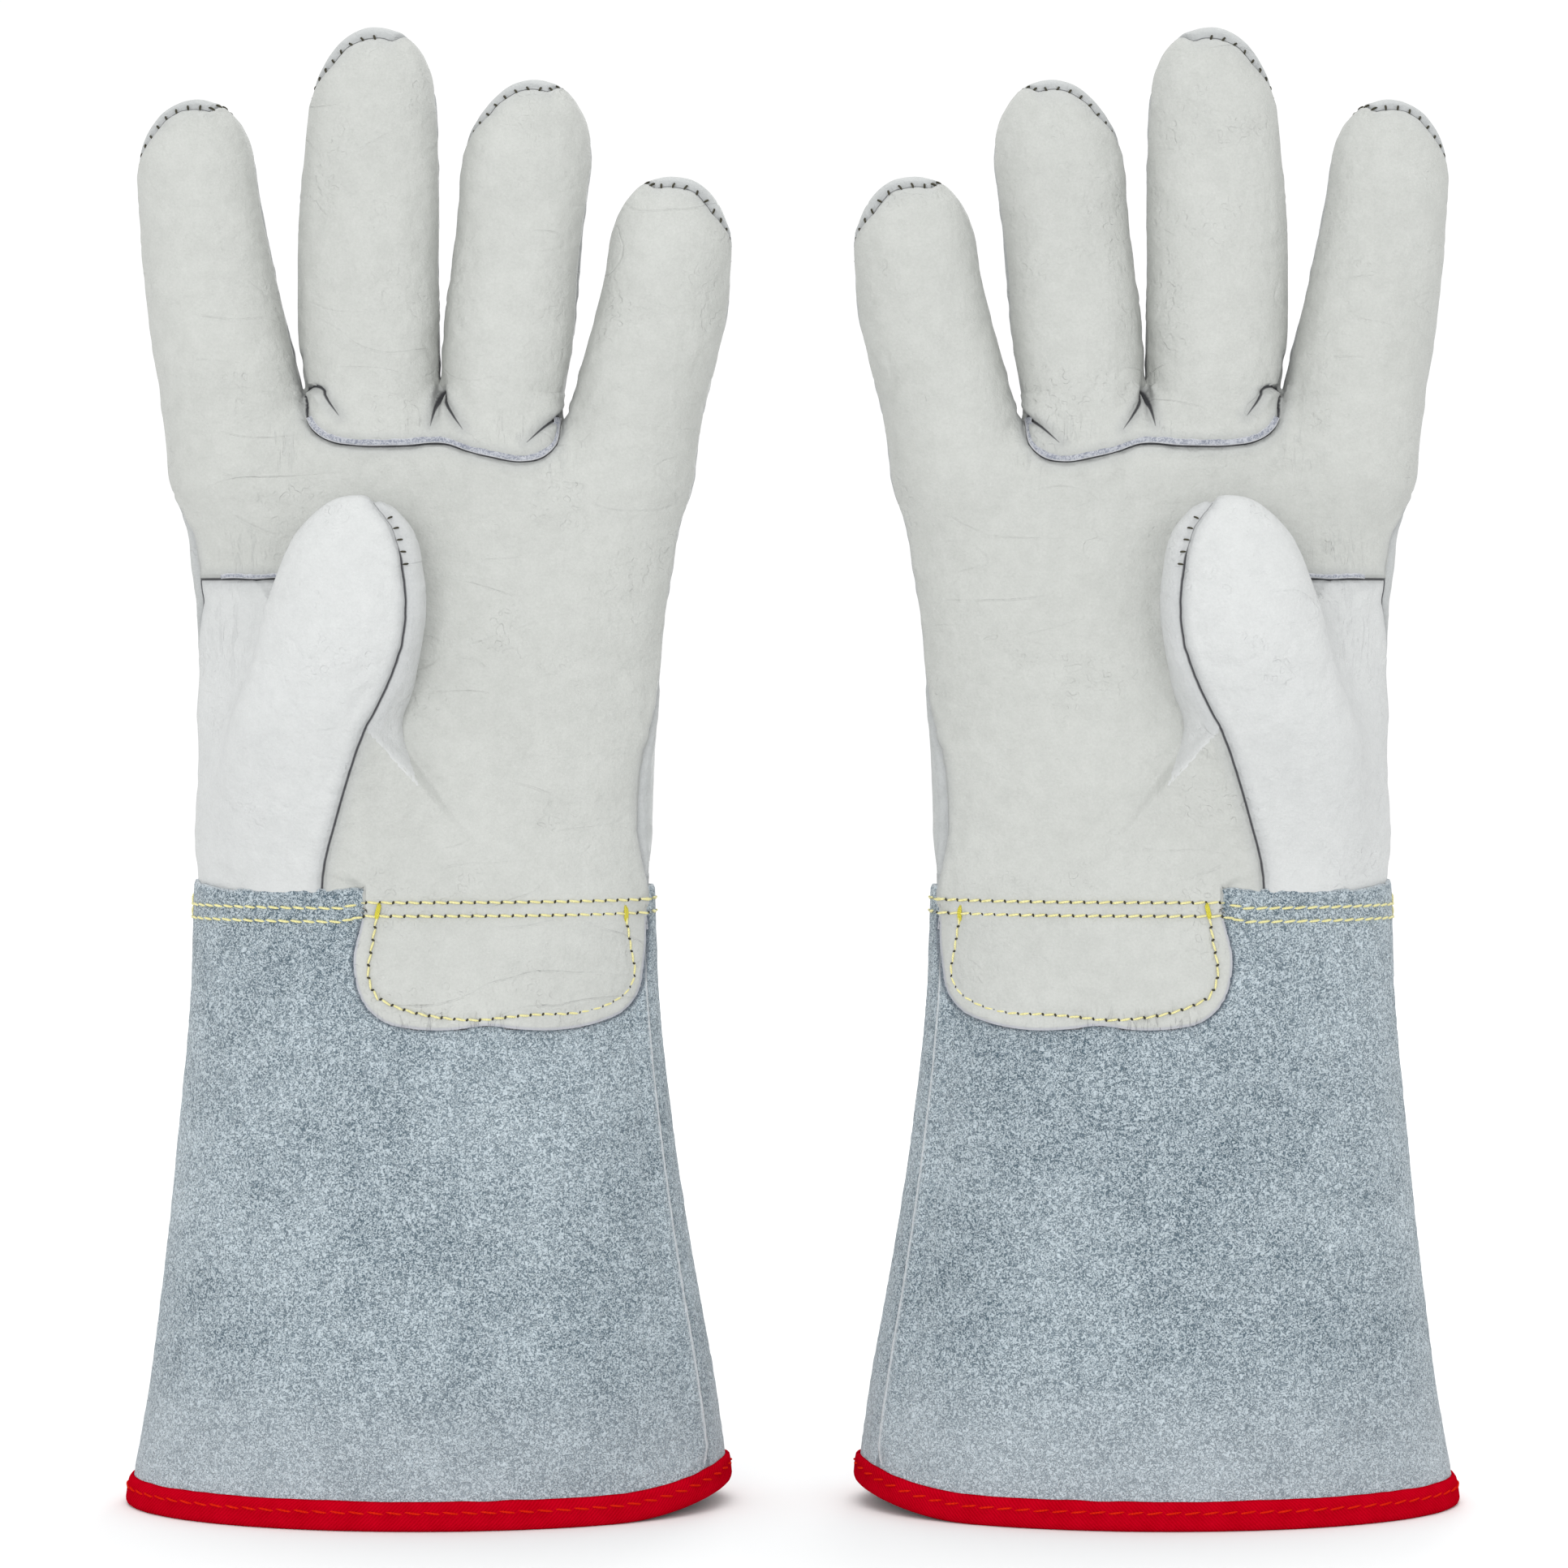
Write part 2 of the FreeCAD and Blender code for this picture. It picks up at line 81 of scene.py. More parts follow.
def noise(p, size, seed=0):
    """Smooth noise from -1 to 1 at points p, with features of one size (or one per axis)."""
    q = p / np.array(size, float) + seed * 17.3
    i = np.floor(q).astype(np.int64)
    f = q - i
    f = f * f * f * (f * (6 * f - 15) + 10)
    total = 0.0
    for dx in (0, 1):
        for dy in (0, 1):
            for dz in (0, 1):
                h = ((i[:, 0] + dx) * 73856093) ^ ((i[:, 1] + dy) * 19349663)
                h = h ^ ((i[:, 2] + dz) * 83492791)
                h = (h & 0xFFFFFFFF) * 2654435761 & 0xFFFFFFFF
                h = ((h ^ (h >> 15)) * 2246822519) & 0xFFFFFFFF
                h = ((h ^ (h >> 13)) >> 8) & 0xFFFF
                w = (f[:, 0] if dx else 1 - f[:, 0]) * (f[:, 1] if dy else 1 - f[:, 1]) \
                    * (f[:, 2] if dz else 1 - f[:, 2])
                total = total + w * (h / 32767.5 - 1)
    return total


def merge(a, b, k):
    """The nearer of two distances, rounded over k where they meet."""
    h = np.maximum(k - np.abs(a - b), 0) / k
    return np.minimum(a, b) - h * h * k / 4


def unit(vectors):
    return vectors / np.maximum(np.linalg.norm(vectors, axis=-1), 1e-9)[..., None]


def run_of(line):
    """The distance along a line at each of its points."""
    return np.concatenate([[0], np.cumsum(np.linalg.norm(np.diff(line, axis=0), axis=1))])


def curve(points, count):
    """A smooth line through points, as count + 1 points."""
    pts = np.array(points, float)
    run = run_of(pts)
    t = np.linspace(0, run[-1], count + 1)
    return np.stack(along(np.column_stack([run, pts]), t), 1)


def beside(line, p):
    """Signed distance from a line in the XZ plane, positive on its left hand."""
    x, z = p[..., 0], p[..., 2]
    best, sign = np.full(x.shape, 1e9), np.ones(x.shape)
    for (x0, z0), (x1, z1) in zip(line[:-1], line[1:]):
        dx, dz = x1 - x0, z1 - z0
        t = np.clip(((x - x0) * dx + (z - z0) * dz) / (dx * dx + dz * dz), 0, 1)
        ex, ez = x - x0 - t * dx, z - z0 - t * dz
        d = ex * ex + ez * ez
        near = d < best
        best = np.where(near, d, best)
        sign = np.where(near, np.where(dx * (z - z0) - dz * (x - x0) >= 0, 1.0, -1.0), sign)
    return np.sqrt(best) * sign


# ------------ the glove's form
# Stations up each sleeve: level, centre x, centre y, half width, half depth
CUFF = ((0, -99.6, 0, 82, 45), (33, -98.8, 0, 77, 41.2), (66, -99.4, 0, 72, 37.4),
        (99, -100.1, 0, 67.8, 33.5), (137, -100.4, 0, 64, 29.6), (175, -100.5, 0, 62.6, 27.2))
PALM = ((124, -100.3, 0, 65.2, 30.9), (150, -100.4, 0, 63.5, 28.6), (168, -100.5, 0, 62.7, 27.2),
        (184, -100.2, 0, 61.9, 25.4), (205, -99.6, 0, 61.9, 24.5), (235, -99, 0, 63.2, 22.2),
        (263, -98.3, 0, 66.2, 19.8), (276, -97.5, 0, 67.6, 18.4), (290, -97.3, 0, 69, 16.8),
        (306, -97, 0, 69.6, 15.5))
FINGERS = {
    "index": ((268, -149.3, 0, 19.4, 15.8), (285, -150.5, 0, 19.5, 15.8), (303, -152.7, 0, 19.4, 15.5),
              (320, -156, -.6, 18.6, 15.2), (342, -159.6, -1.5, 17.5, 14.6), (357, -161.3, -3.3, 16.2, 13.6),
              (381.3, -160.9, -5, 16.2, 13.6)),
    "middle": ((274, -114.8, 0, 17.6, 15.6), (303, -114.4, 0, 17.7, 15.6), (318, -115.1, -.5, 18.6, 15.4),
               (333, -115, -1, 18.9, 15.2), (350, -114.6, -1.8, 18.9, 14.6), (373, -114, -4, 17.1, 13.6),
               (400.2, -111.8, -6, 17.1, 13.6)),
    "ring": ((274, -79.8, 0, 16.6, 15.6), (302, -78.8, 0, 16.4, 15.6), (312, -77.8, -.5, 16.9, 15.4),
             (322, -76.7, -.8, 17.2, 15.2), (340, -74.9, -1.5, 17.3, 14.6), (360, -72.5, -3.3, 17, 13.6),
             (386.5, -69.7, -5.5, 17, 13.6)),
    "little": ((266, -49.5, 0, 19, 15.2), (280, -46.5, 0, 19, 15.2), (296, -43, 0, 18.3, 15),
               (310, -39, -.7, 17.9, 14.6), (325, -35.4, -1.5, 17.4, 14), (338, -33.6, -3, 16.5, 13),
               (360.6, -32.4, -4.5, 16.6, 13)),
}
THUMB = ((178, -122, -11, 25, 9), (192, -124, -17.5, 25, 11), (204, -126, -22.5, 23.5, 12.6),
         (213, -126, -26, 21.8, 13.2), (221, -123.4, -28.6, 22.2, 13), (232, -120.4, -31, 22, 12.7),
         (246, -118, -32.2, 20.9, 12), (252, -117.2, -32.8, 19.9, 11.4), (264, -115.6, -33.2, 19.9, 11),
         (273.2, -115.2, -33.4, 19.9, 11))
TOP = {"index": 357, "middle": 373, "ring": 360, "little": 338}
# Joint zones: the cut between hand and finger, bend end, mid cut, second bend start and end
ZONES = {"index": (302.4, 326, 327.5, 329, 356), "middle": (302.4, 327, 329, 331, 361),
         "ring": (302.4, 326.5, 327.8, 329, 357), "little": (296.6, 313.5, 314, 314.5, 340)}
# Gaps between the fingers, from the index finger's side: level and x
GAPS = (((290, -131.8), (303, -132.6), (330, -136.5), (402, -146)),
        ((290, -95.8), (302, -95.6), (330, -94.6), (402, -86)),
        ((286, -63.4), (296, -62), (310, -59), (402, -41)))
# Seams on the front, as points (x, z)
WING_SEAM = curve([(-125, 110), (-125, 150), (-125, 176), (-122.4, 184.5), (-118.3, 197.2), (-113.3, 210.2),
                   (-108, 220), (-103.7, 230), (-101.5, 240.5), (-101.8, 250.5), (-103.6, 260.3),
                   (-106.2, 267), (-110.2, 271.6), (-113, 284)], 44)
BASE_SEAM = curve([(-133.5, 312), (-132, 302), (-130.2, 293.4), (-127, 290.2), (-123.5, 288.6), (-118, 287.7),
                   (-105, 287.6), (-92.7, 288), (-87, 286), (-80.3, 284.4), (-73.5, 283.3), (-67.4, 284.5),
                   (-64.2, 287.4), (-62.8, 295.5), (-60.4, 305)], 44)
# The outline of the tab over the cuff, and the row of stitches inside it
TAB = curve([(-113.2, 200), (-113.4, 166), (-115.2, 158.8), (-117, 151), (-116.6, 145), (-114.4, 138.6),
             (-109, 133.6), (-101, 131.8), (-91, 131.5), (-81, 132.6), (-74, 131.6), (-62, 131.2),
             (-52, 132.9), (-45.4, 135.6), (-41.6, 140.2), (-40.1, 148), (-39.4, 164), (-39.4, 200)], 66)
TAB_ROW = curve([(-110.7, 162.1), (-112, 153.8), (-113, 146), (-111, 140.6), (-107.2, 138.3), (-103.6, 136.9),
                 (-92.2, 134.6), (-83, 134.1), (-76.7, 134.7), (-68.7, 135.3), (-56, 135.8),
                 (-49.6, 137.6), (-44.6, 141), (-42.9, 144.8), (-43.8, 152), (-45.2, 161.6)], 40)
# Folds of the gusset leather at the foot of the fingers, from their deep ends
FOLDS = [curve(points, 12) for points in (
    [(-95.4, 303.5), (-96, 300.4), (-96.9, 296), (-97.3, 292.4)],
    [(-94.6, 303.5), (-93.9, 300.2), (-91.5, 296), (-88.4, 291.6)],
    [(-132.4, 303.4), (-130.0, 304.0), (-127.2, 303.2), (-125.0, 299.6), (-121.8, 295.5)],
    [(-61.6, 297.4), (-63.6, 295.6), (-66.9, 293.0), (-69.6, 290.3), (-71.8, 288.1)])]
CREASE = 251.8                           # level of the seam below the index finger
TUCK, LAP = -1.9, 1.4                    # the hand's leather inside the cuff, and the tab over it
TAB_TOP = 163.4                          # level where the palm's leather becomes the tab
TUCK_FOOT = 157.0                        # level where the leather tucked inside the cuff ends


def tube(x, y, z, rows, p, top, foot):
    """Distance to a sleeve with rounded ends, from levels top[0] to top[1] and foot[0] down to foot[1]."""
    return shell(x, y, z, *along(rows, z), p, top, foot)


def shell(x, y, z, cx, cy, a, b, p, top, foot):
    """The same distance, from the sleeve's centre and half sizes at each point."""
    tx, ty = np.abs((x - cx) / a), np.abs((y - cy) / b)
    u, h = 0 * z, 1.0
    if top:
        h = top[1] - top[0]
        u = np.clip((z - top[0]) / h, 0, None)
    if foot:
        u = np.where(z < foot[0], (foot[0] - z) / (foot[0] - foot[1]), u)
        h = np.where(z < foot[0], foot[0] - foot[1], h)
    q = np.maximum(tx ** p + ty ** p + u ** p, 1e-6) ** (1 / p)
    slope = np.sqrt(sum(((t / q) ** (p - 1) / size) ** 2 for t, size in ((tx, a), (ty, b), (u, h))))
    return (q - 1) / np.maximum(slope, 1e-4)


def tab_cover(x, y, z):
    """1 where the palm leather lies over the cuff, and 0 where it is tucked inside it."""
    left = -114 - 4.4 * (1 - ramp(158, 165, z))
    across = ramp(left - 0.7 - 14 * ramp(168.5, 174, z), left + 0.3, x) * (1 - ramp(-39.3, -38.4, x))
    return across * (1 - ramp(-6, -4, y))


def palm(x, y, z):
    cx, cy, a, b = along(PALM, z)
    low = 1 - ramp(166, 184, z)
    proud = (TUCK + (LAP - TUCK) * tab_cover(x, y, z)) * low
    drop = ramp(-85, -62, x)                 # the crotch beside the little finger lies lower
    return shell(x, y, z, cx, cy, a + proud, b + proud, 2.05, (283 - 5 * drop, 303 - 8 * drop), None)


def hand(x, y, z):
    """The palm with its four fingers."""
    d = None
    for name, rows in FINGERS.items():
        f = tube(x, y, z, rows, 2.15, (TOP[name], rows[-1][0]), (282, 262))
        d = f if d is None else merge(d, f, 1.1)
    return merge(palm(x, y, z), d, 5.0)


def thumb(x, y, z):
    return tube(x, y, z, THUMB, 2.03, (247.5, 273.4), (192, 172))


def reach(x, z):
    """How far a point is along the thumb's lifting direction."""
    return 0.766 * x + 0.643 * z


def hand_field(x, y, z):
    s = ramp(50, 60, reach(x, z))
    return merge(hand(x, y, z), thumb(x, y, z) + 40 * s, 18 * (1 - s) + 2)


def thumb_field(x, y, z):
    s = ramp(50, 60, reach(x, z))
    return merge(thumb(x, y, z), palm(x, y, z) + 40 * s, 18 * (1 - s) + 2)


def finger_at(p):
    """The number of the finger beside or above a point: 0 is the index finger and 3 the little one."""
    return sum((p[:, 0] > along(gap, p[:, 2])[0]).astype(int) for gap in GAPS)


# Seams, as functions that are zero on them
def side_seam(p):
    """Negative on the front panels, and positive on the back ones."""
    x, y, z = p.T
    s = -8.0 * (1 - ramp(196, 232, z)) * ramp(-70, -55, x)
    s = s - 5.5 * ramp(232, 247, z) * (1 - ramp(253, 284, z)) * (1 - ramp(-150, -140, x))
    which = finger_at(p)
    for i, (name, rows) in enumerate(FINGERS.items()):
        cx, cy, a, _ = along(rows, z)
        turn = 1 if name != "little" else -1
        over = 1 - 1.5 * ramp(0.22, 0.62, turn * (x - cx) / a)
        tip = rows[-1][0]
        on_finger = cy * ramp(290, 306, z) - 6.5 * ramp(tip - 21, tip - 9, z) * over
        s = np.where((which == i) & (z > 285), on_finger, s)
    return y - s


def wing_edge(p):
    """Positive on the wing panel, left of its seam and below the crease."""
    return np.minimum(np.minimum(beside(WING_SEAM, p), CREASE - p[:, 2]), -side_seam(p))


def thumb_edge(p):
    """Positive on the thumb's front."""
    return np.minimum(beside(WING_SEAM, p), along(THUMB, p[:, 2])[1] + 1.5 - p[:, 1])


def base_edge(p):
    """Positive above the seam at the foot of the middle and ring fingers."""
    return beside(BASE_SEAM, p)


def fold_edge(p):
    """Distance from the nearest fold at the foot of the fingers, and how far it has run out, from 0 to 1."""
    d = np.stack([np.abs(beside(line, p)) for line in FOLDS])
    run = np.stack([np.linalg.norm(p[:, [0, 2]] - line[0], axis=1) / np.linalg.norm(line[-1] - line[0])
                    for line in FOLDS])
    k = d.argmin(0)[None]
    return np.take_along_axis(d, k, 0)[0], np.clip(np.take_along_axis(run, k, 0)[0], 0, 1)


# ------------ meshes from the form
def solve(field, p, times=3):
    """Moves points onto the surface."""
    for _ in range(times):
        d = field(*p.T)
        p = p - slope_of(field, p) * np.clip(d, -STEP, STEP)[:, None]
    return p


def slope_of(field, p):
    """The outward direction of the surface at points."""
    h = 0.15
    return unit(np.stack([field(*(p + h * e).T) - field(*(p - h * e).T) for e in np.eye(3)], 1))


def net(field, lo, hi, step):
    """The surface where the field is zero, as triangles between the cells of a grid."""
    x, y, z = (np.arange(lo[k], hi[k] + step, step) for k in range(3))
    d = field(x[:, None, None], y[None, :, None], z[None, None, :] + 0 * y[None, :, None])
    d = np.broadcast_to(d, (len(x), len(y), len(z)))
    inside = d < 0
    n = tuple(s - 1 for s in inside.shape)
    corners = [(i, j, k) for i in (0, 1) for j in (0, 1) for k in (0, 1)]
    count = sum(inside[i:i + n[0], j:j + n[1], k:k + n[2]].astype(int) for i, j, k in corners)
    cells = np.argwhere((count > 0) & (count < 8))
    number = np.full(n, -1)
    number[tuple(cells.T)] = np.arange(len(cells))
    total, hits = np.zeros((len(cells), 3)), np.zeros(len(cells))
    for c in corners:
        for axis in range(3):
            if c[axis]:
                continue
            e = np.array(c)
            e[axis] = 1
            da, db = d[tuple((cells + c).T)], d[tuple((cells + e).T)]
            on = (da < 0) != (db < 0)
            t = np.where(on, da / np.where(on, da - db, 1), 0)
            total += on[:, None] * (np.array(c) + t[:, None] * (e - np.array(c)))
            hits += on
    v = np.array([x[0], y[0], z[0]]) + step * (cells + total / hits[:, None])
    faces = []
    for axis in range(3):
        u, w = (axis + 1) % 3, (axis + 2) % 3
        a = np.moveaxis(inside, axis, 0)
        cross = np.argwhere(a[1:] != a[:-1])
        grown = a[:-1][tuple(cross.T)]
        at = np.zeros_like(cross)
        order = [axis] + [k for k in range(3) if k != axis]
        for column, k in enumerate(order):
            at[:, k] = cross[:, column]
        ok = (at[:, u] > 0) & (at[:, w] > 0) & (at[:, u] < n[u]) & (at[:, w] < n[w])
        at, grown = at[ok], grown[ok]
        quad = []
        for du, dw in ((-1, -1), (0, -1), (0, 0), (-1, 0)):
            c = at.copy()
            c[:, u] += du
            c[:, w] += dw
            quad.append(number[tuple(c.T)])
        quad = np.stack(quad, 1)
        quad = np.where(grown[:, None], quad, quad[:, ::-1])
        faces += [quad[:, [0, 1, 2]], quad[:, [0, 2, 3]]]
    return v, np.concatenate(faces)


def split(v, f, g, level=0.0, on=None):
    """Divides triangles along the line where g is at a level, so that the line becomes edges."""
    s = g(v) - level
    s = np.where(np.abs(s) < 2e-3, 2e-3, s)
    edge = np.stack([f, np.roll(f, -1, 1)], 2)
    cross = (s[edge[..., 0]] > 0) != (s[edge[..., 1]] > 0)
    if on is not None:
        ok = on(v)
        cross &= ok[edge[..., 0]] & ok[edge[..., 1]]
    if not cross.any():
        return v, f
    key, back = np.unique((edge.min(2) * len(v) + edge.max(2))[cross], return_inverse=True)
    a, b = key // len(v), key % len(v)
    t = (s[a] / (s[a] - s[b]))[:, None]
    cut = np.full(f.shape, -1)
    cut[cross] = len(v) + back.ravel()
    count = cross.sum(1)
    out = [f[count == 0]]
    for times, shift in ((1, (0, 1, 2)), (2, (2, 0, 1))):
        rows = count == times
        first = (cross[rows] if times == 1 else ~cross[rows]).argmax(1)
        turn = (first[:, None] + np.array(shift)) % 3
        q, c = np.take_along_axis(f[rows], turn, 1), np.take_along_axis(cut[rows], turn, 1)
        if times == 1:
            out += [np.stack([q[:, 0], c[:, 0], q[:, 2]], 1), np.stack([c[:, 0], q[:, 1], q[:, 2]], 1)]
        else:
            out += [np.stack([q[:, 0], c[:, 0], c[:, 2]], 1), np.stack([c[:, 0], q[:, 1], q[:, 2]], 1),
                    np.stack([c[:, 0], q[:, 2], c[:, 2]], 1)]
    return np.concatenate([v, v[a] + (v[b] - v[a]) * t]), np.concatenate(out)


def normals_of(v, f):
    n = np.zeros_like(v)
    face = np.cross(v[f[:, 1]] - v[f[:, 0]], v[f[:, 2]] - v[f[:, 0]])
    for k in range(3):
        for c in range(3):
            n[:, c] += np.bincount(f[:, k], face[:, c], len(v))
    return unit(n)


def warp(p):
    """The slight irregularity of real gloves, the same for everything at one place."""
    x, y, z = p.T
    low = 1 - ramp(150, 200, z)
    cuff = (1.1 * noise(p, (46, 60, 38), 3) + 0.35 * noise(p, (17, 30, 15), 4)) * low * ramp(0, 25, z)
    sway = 0.7 * noise(p, 55, 5) * (1 - low)
    corner = 5.4 * np.clip((x + 48) / 30, 0, 1.05) ** 2 * (1 - ramp(5, 75, z))   # the hem's rise at one side
    return np.stack([x + 0.35 * noise(p, 50, 6) * ramp(20, 60, z),
                     y + cuff * np.sign(y) * ramp(2, 14, abs(y)) + sway, z + corner], 1)


# ------------ Blender objects
def place(name, data):
    obj = bpy.data.objects.new(name, data)
    bpy.context.scene.collection.objects.link(obj)
    return obj


def piece(name, v, f, material, slot, normals=None, marks=None, uv=None):
    """The left glove's mesh and its mirror image, from points in millimetres."""
    for side, sign in SIDES:
        mesh = bpy.data.meshes.new(f"{side}_{name}")
        faces = f if sign > 0 else f[:, ::-1]
        mesh.vertices.add(len(v))
        mesh.vertices.foreach_set("co", (v * (MM * sign, MM, MM)).astype(np.float32).ravel())
        mesh.loops.add(faces.size)
        mesh.polygons.add(len(faces))
        mesh.loops.foreach_set("vertex_index", faces.astype(np.int32).ravel())
        mesh.polygons.foreach_set("loop_start", np.arange(0, faces.size, faces.shape[1], dtype=np.int32))
        for key, values in (marks or {}).items():
            attribute = mesh.attributes.new(key, "FLOAT", "POINT")
            attribute.data.foreach_set("value", values.astype(np.float32))
        if uv is not None:
            layer = mesh.uv_layers.new(name="UVMap")
            layer.data.foreach_set("uv", (uv[faces.ravel()] * MM).astype(np.float32).ravel())
        mesh.update(calc_edges=True)
        mesh.shade_smooth()
        if normals is not None:
            mesh.normals_split_custom_set_from_vertices((normals * (sign, 1, 1)).tolist())
        mesh.materials.append(material)
        obj = place(f"{side}_{name}", mesh)
        made[obj.name] = obj
    return name


def stand_in(nodes):
    """The piece takes the place of CAD nodes, if any are named."""
    if nodes:
        for side, _ in SIDES:
            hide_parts(*(f"{side}_{node}" for node in nodes))


def ride(name, body, *nodes):
    for side, _ in SIDES:
        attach(made[f"{side}_{name}"], f"{side}_{body}")
    stand_in(nodes)


def bend(name, a, b, start, end, *nodes):
    """Bakes the piece's placement into its mesh and hides the CAD nodes that it stands in for; the bodies a
    and b and the points start and end are not used.
    """
    for side, sign in SIDES:
        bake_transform(made[f"{side}_{name}"])
    stand_in(nodes)


def cut_out(v, f, n, marks, faces):
    """Some of a mesh's faces, with their vertices, normals and marks, and the vertices' old numbers."""
    used, back = np.unique(f[faces], return_inverse=True)
    return v[used], back.reshape(-1, 3), n[used], {k: m[used] for k, m in marks.items()}, used


def slab(outer, inner, closed=False):
    """A sheet with thickness between two grids of points; closed joins its first and last columns."""
    n, m = outer.shape[:2]
    v = np.concatenate([outer.reshape(-1, 3), inner.reshape(-1, 3)])
    cols, size = (n if closed else n - 1), n * m
    i, j = np.meshgrid(np.arange(cols), np.arange(m - 1), indexing="ij")
    a, b = (i * m + j).ravel(), (((i + 1) % n) * m + j).ravel()
    f = [np.stack([a, b, b + 1, a + 1], 1), np.stack([a, a + 1, b + 1, b], 1) + size]
    i = np.arange(cols)
    for row, flip in ((0, False), (m - 1, True)):
        a, b = i * m + row, ((i + 1) % n) * m + row
        q = np.stack([a, a + size, b + size, b], 1)
        f.append(q[:, ::-1] if flip else q)
    if not closed:
        j = np.arange(m - 1)
        for col, flip in ((0, True), (n - 1, False)):
            a = col * m + j
            q = np.stack([a, a + size, a + 1 + size, a + 1], 1)
            f.append(q[:, ::-1] if flip else q)
    return v, np.concatenate(f)


def threads(centre, way, out, length, radius, lift):
    """Stitches: one at each centre, lying along way and bowed outward."""
    t = np.linspace(-1, 1, 7)
    angle = np.linspace(0, 2 * np.pi, 6, endpoint=False)
    way = unit(way)
    across = np.cross(out, way)
    spine = centre[:, None] + way[:, None] * (t * length / 2)[:, None] \
        + out[:, None] * (lift * (1 - t * t) - 0.1)[:, None]
    r = (radius * np.sqrt(1.04 - t ** 4))[:, None, None]
    v = spine[:, :, None] + r * (across[:, None, None] * np.cos(angle)[:, None]
                                 + out[:, None, None] * np.sin(angle)[:, None])
    count, rings, sides = v.shape[:3]
    s, i, j = np.meshgrid(np.arange(count), np.arange(rings - 1), np.arange(sides), indexing="ij")
    at = lambda ring, k: ((s * rings + ring) * sides + k % sides).ravel()
    f = np.stack([at(i, j), at(i, j + 1), at(i + 1, j + 1), at(i + 1, j)], 1)
    return v.reshape(-1, 3), f


def spaced(line, pitch, start=0.5):
    """Centres and directions at a pitch along a line of points."""
    run = run_of(line)
    s = np.arange(start * pitch, run[-1] - 0.3 * pitch, pitch)
    at = lambda q: np.stack([np.interp(q, run, line[:, c]) for c in range(3)], 1)
    return at(s), at(s + 0.3) - at(s - 0.3)


def joined(parts):
    """Several meshes as one."""
    v, f, base = [], [], 0
    for pv, pf in parts:
        v.append(pv)
        f.append(pf + base)
        base += len(pv)
    return np.concatenate(v), np.concatenate(f)


# ------------ materials
# Kinds of texture: Blender's node and its settings
TEXTURES = {"cells": ("Voronoi", {}), "checks": ("Checker", {}), "bands": ("Wave", {"Distortion": 0.6}),
            "cloud": ("Noise", {"Detail": 5, "Roughness": 0.55}),
            "grain": ("Noise", {"Detail": 3, "Roughness": 0.7}),
            "fibre": ("Noise", {"Detail": 1.5, "Distortion": 1.6}),
            "creases": ("Noise", {"Detail": 0.5, "Distortion": 0.15}),
            "pits": ("Noise", {"Detail": 0.5, "Distortion": 0.15})}
PATCHES = {"creases": 22, "pits": 46}    # kinds that show only in patches, and the patches' scale
# The range that each kind is spread from, where it isn't 0 to 1
SPREAD = {"cells": (0.0, 0.25), "cloud": (0.3, 0.7), "grain": (0.3, 0.7), "fibre": (0.39, 0.61)}


def material(name, colour, rough, sheen=0.0, gloss=0.3):
    m = bpy.data.materials.new(name)
    m.use_nodes = True
    nodes, links = m.node_tree.nodes, m.node_tree.links
    shader = nodes["Principled BSDF"]
    shader.inputs["Base Color"].default_value = (*colour, 1)
    shader.inputs["Roughness"].default_value = rough
    shader.inputs["Sheen Weight"].default_value = sheen
    shader.inputs["Specular IOR Level"].default_value = gloss
    return m, nodes, links, shader


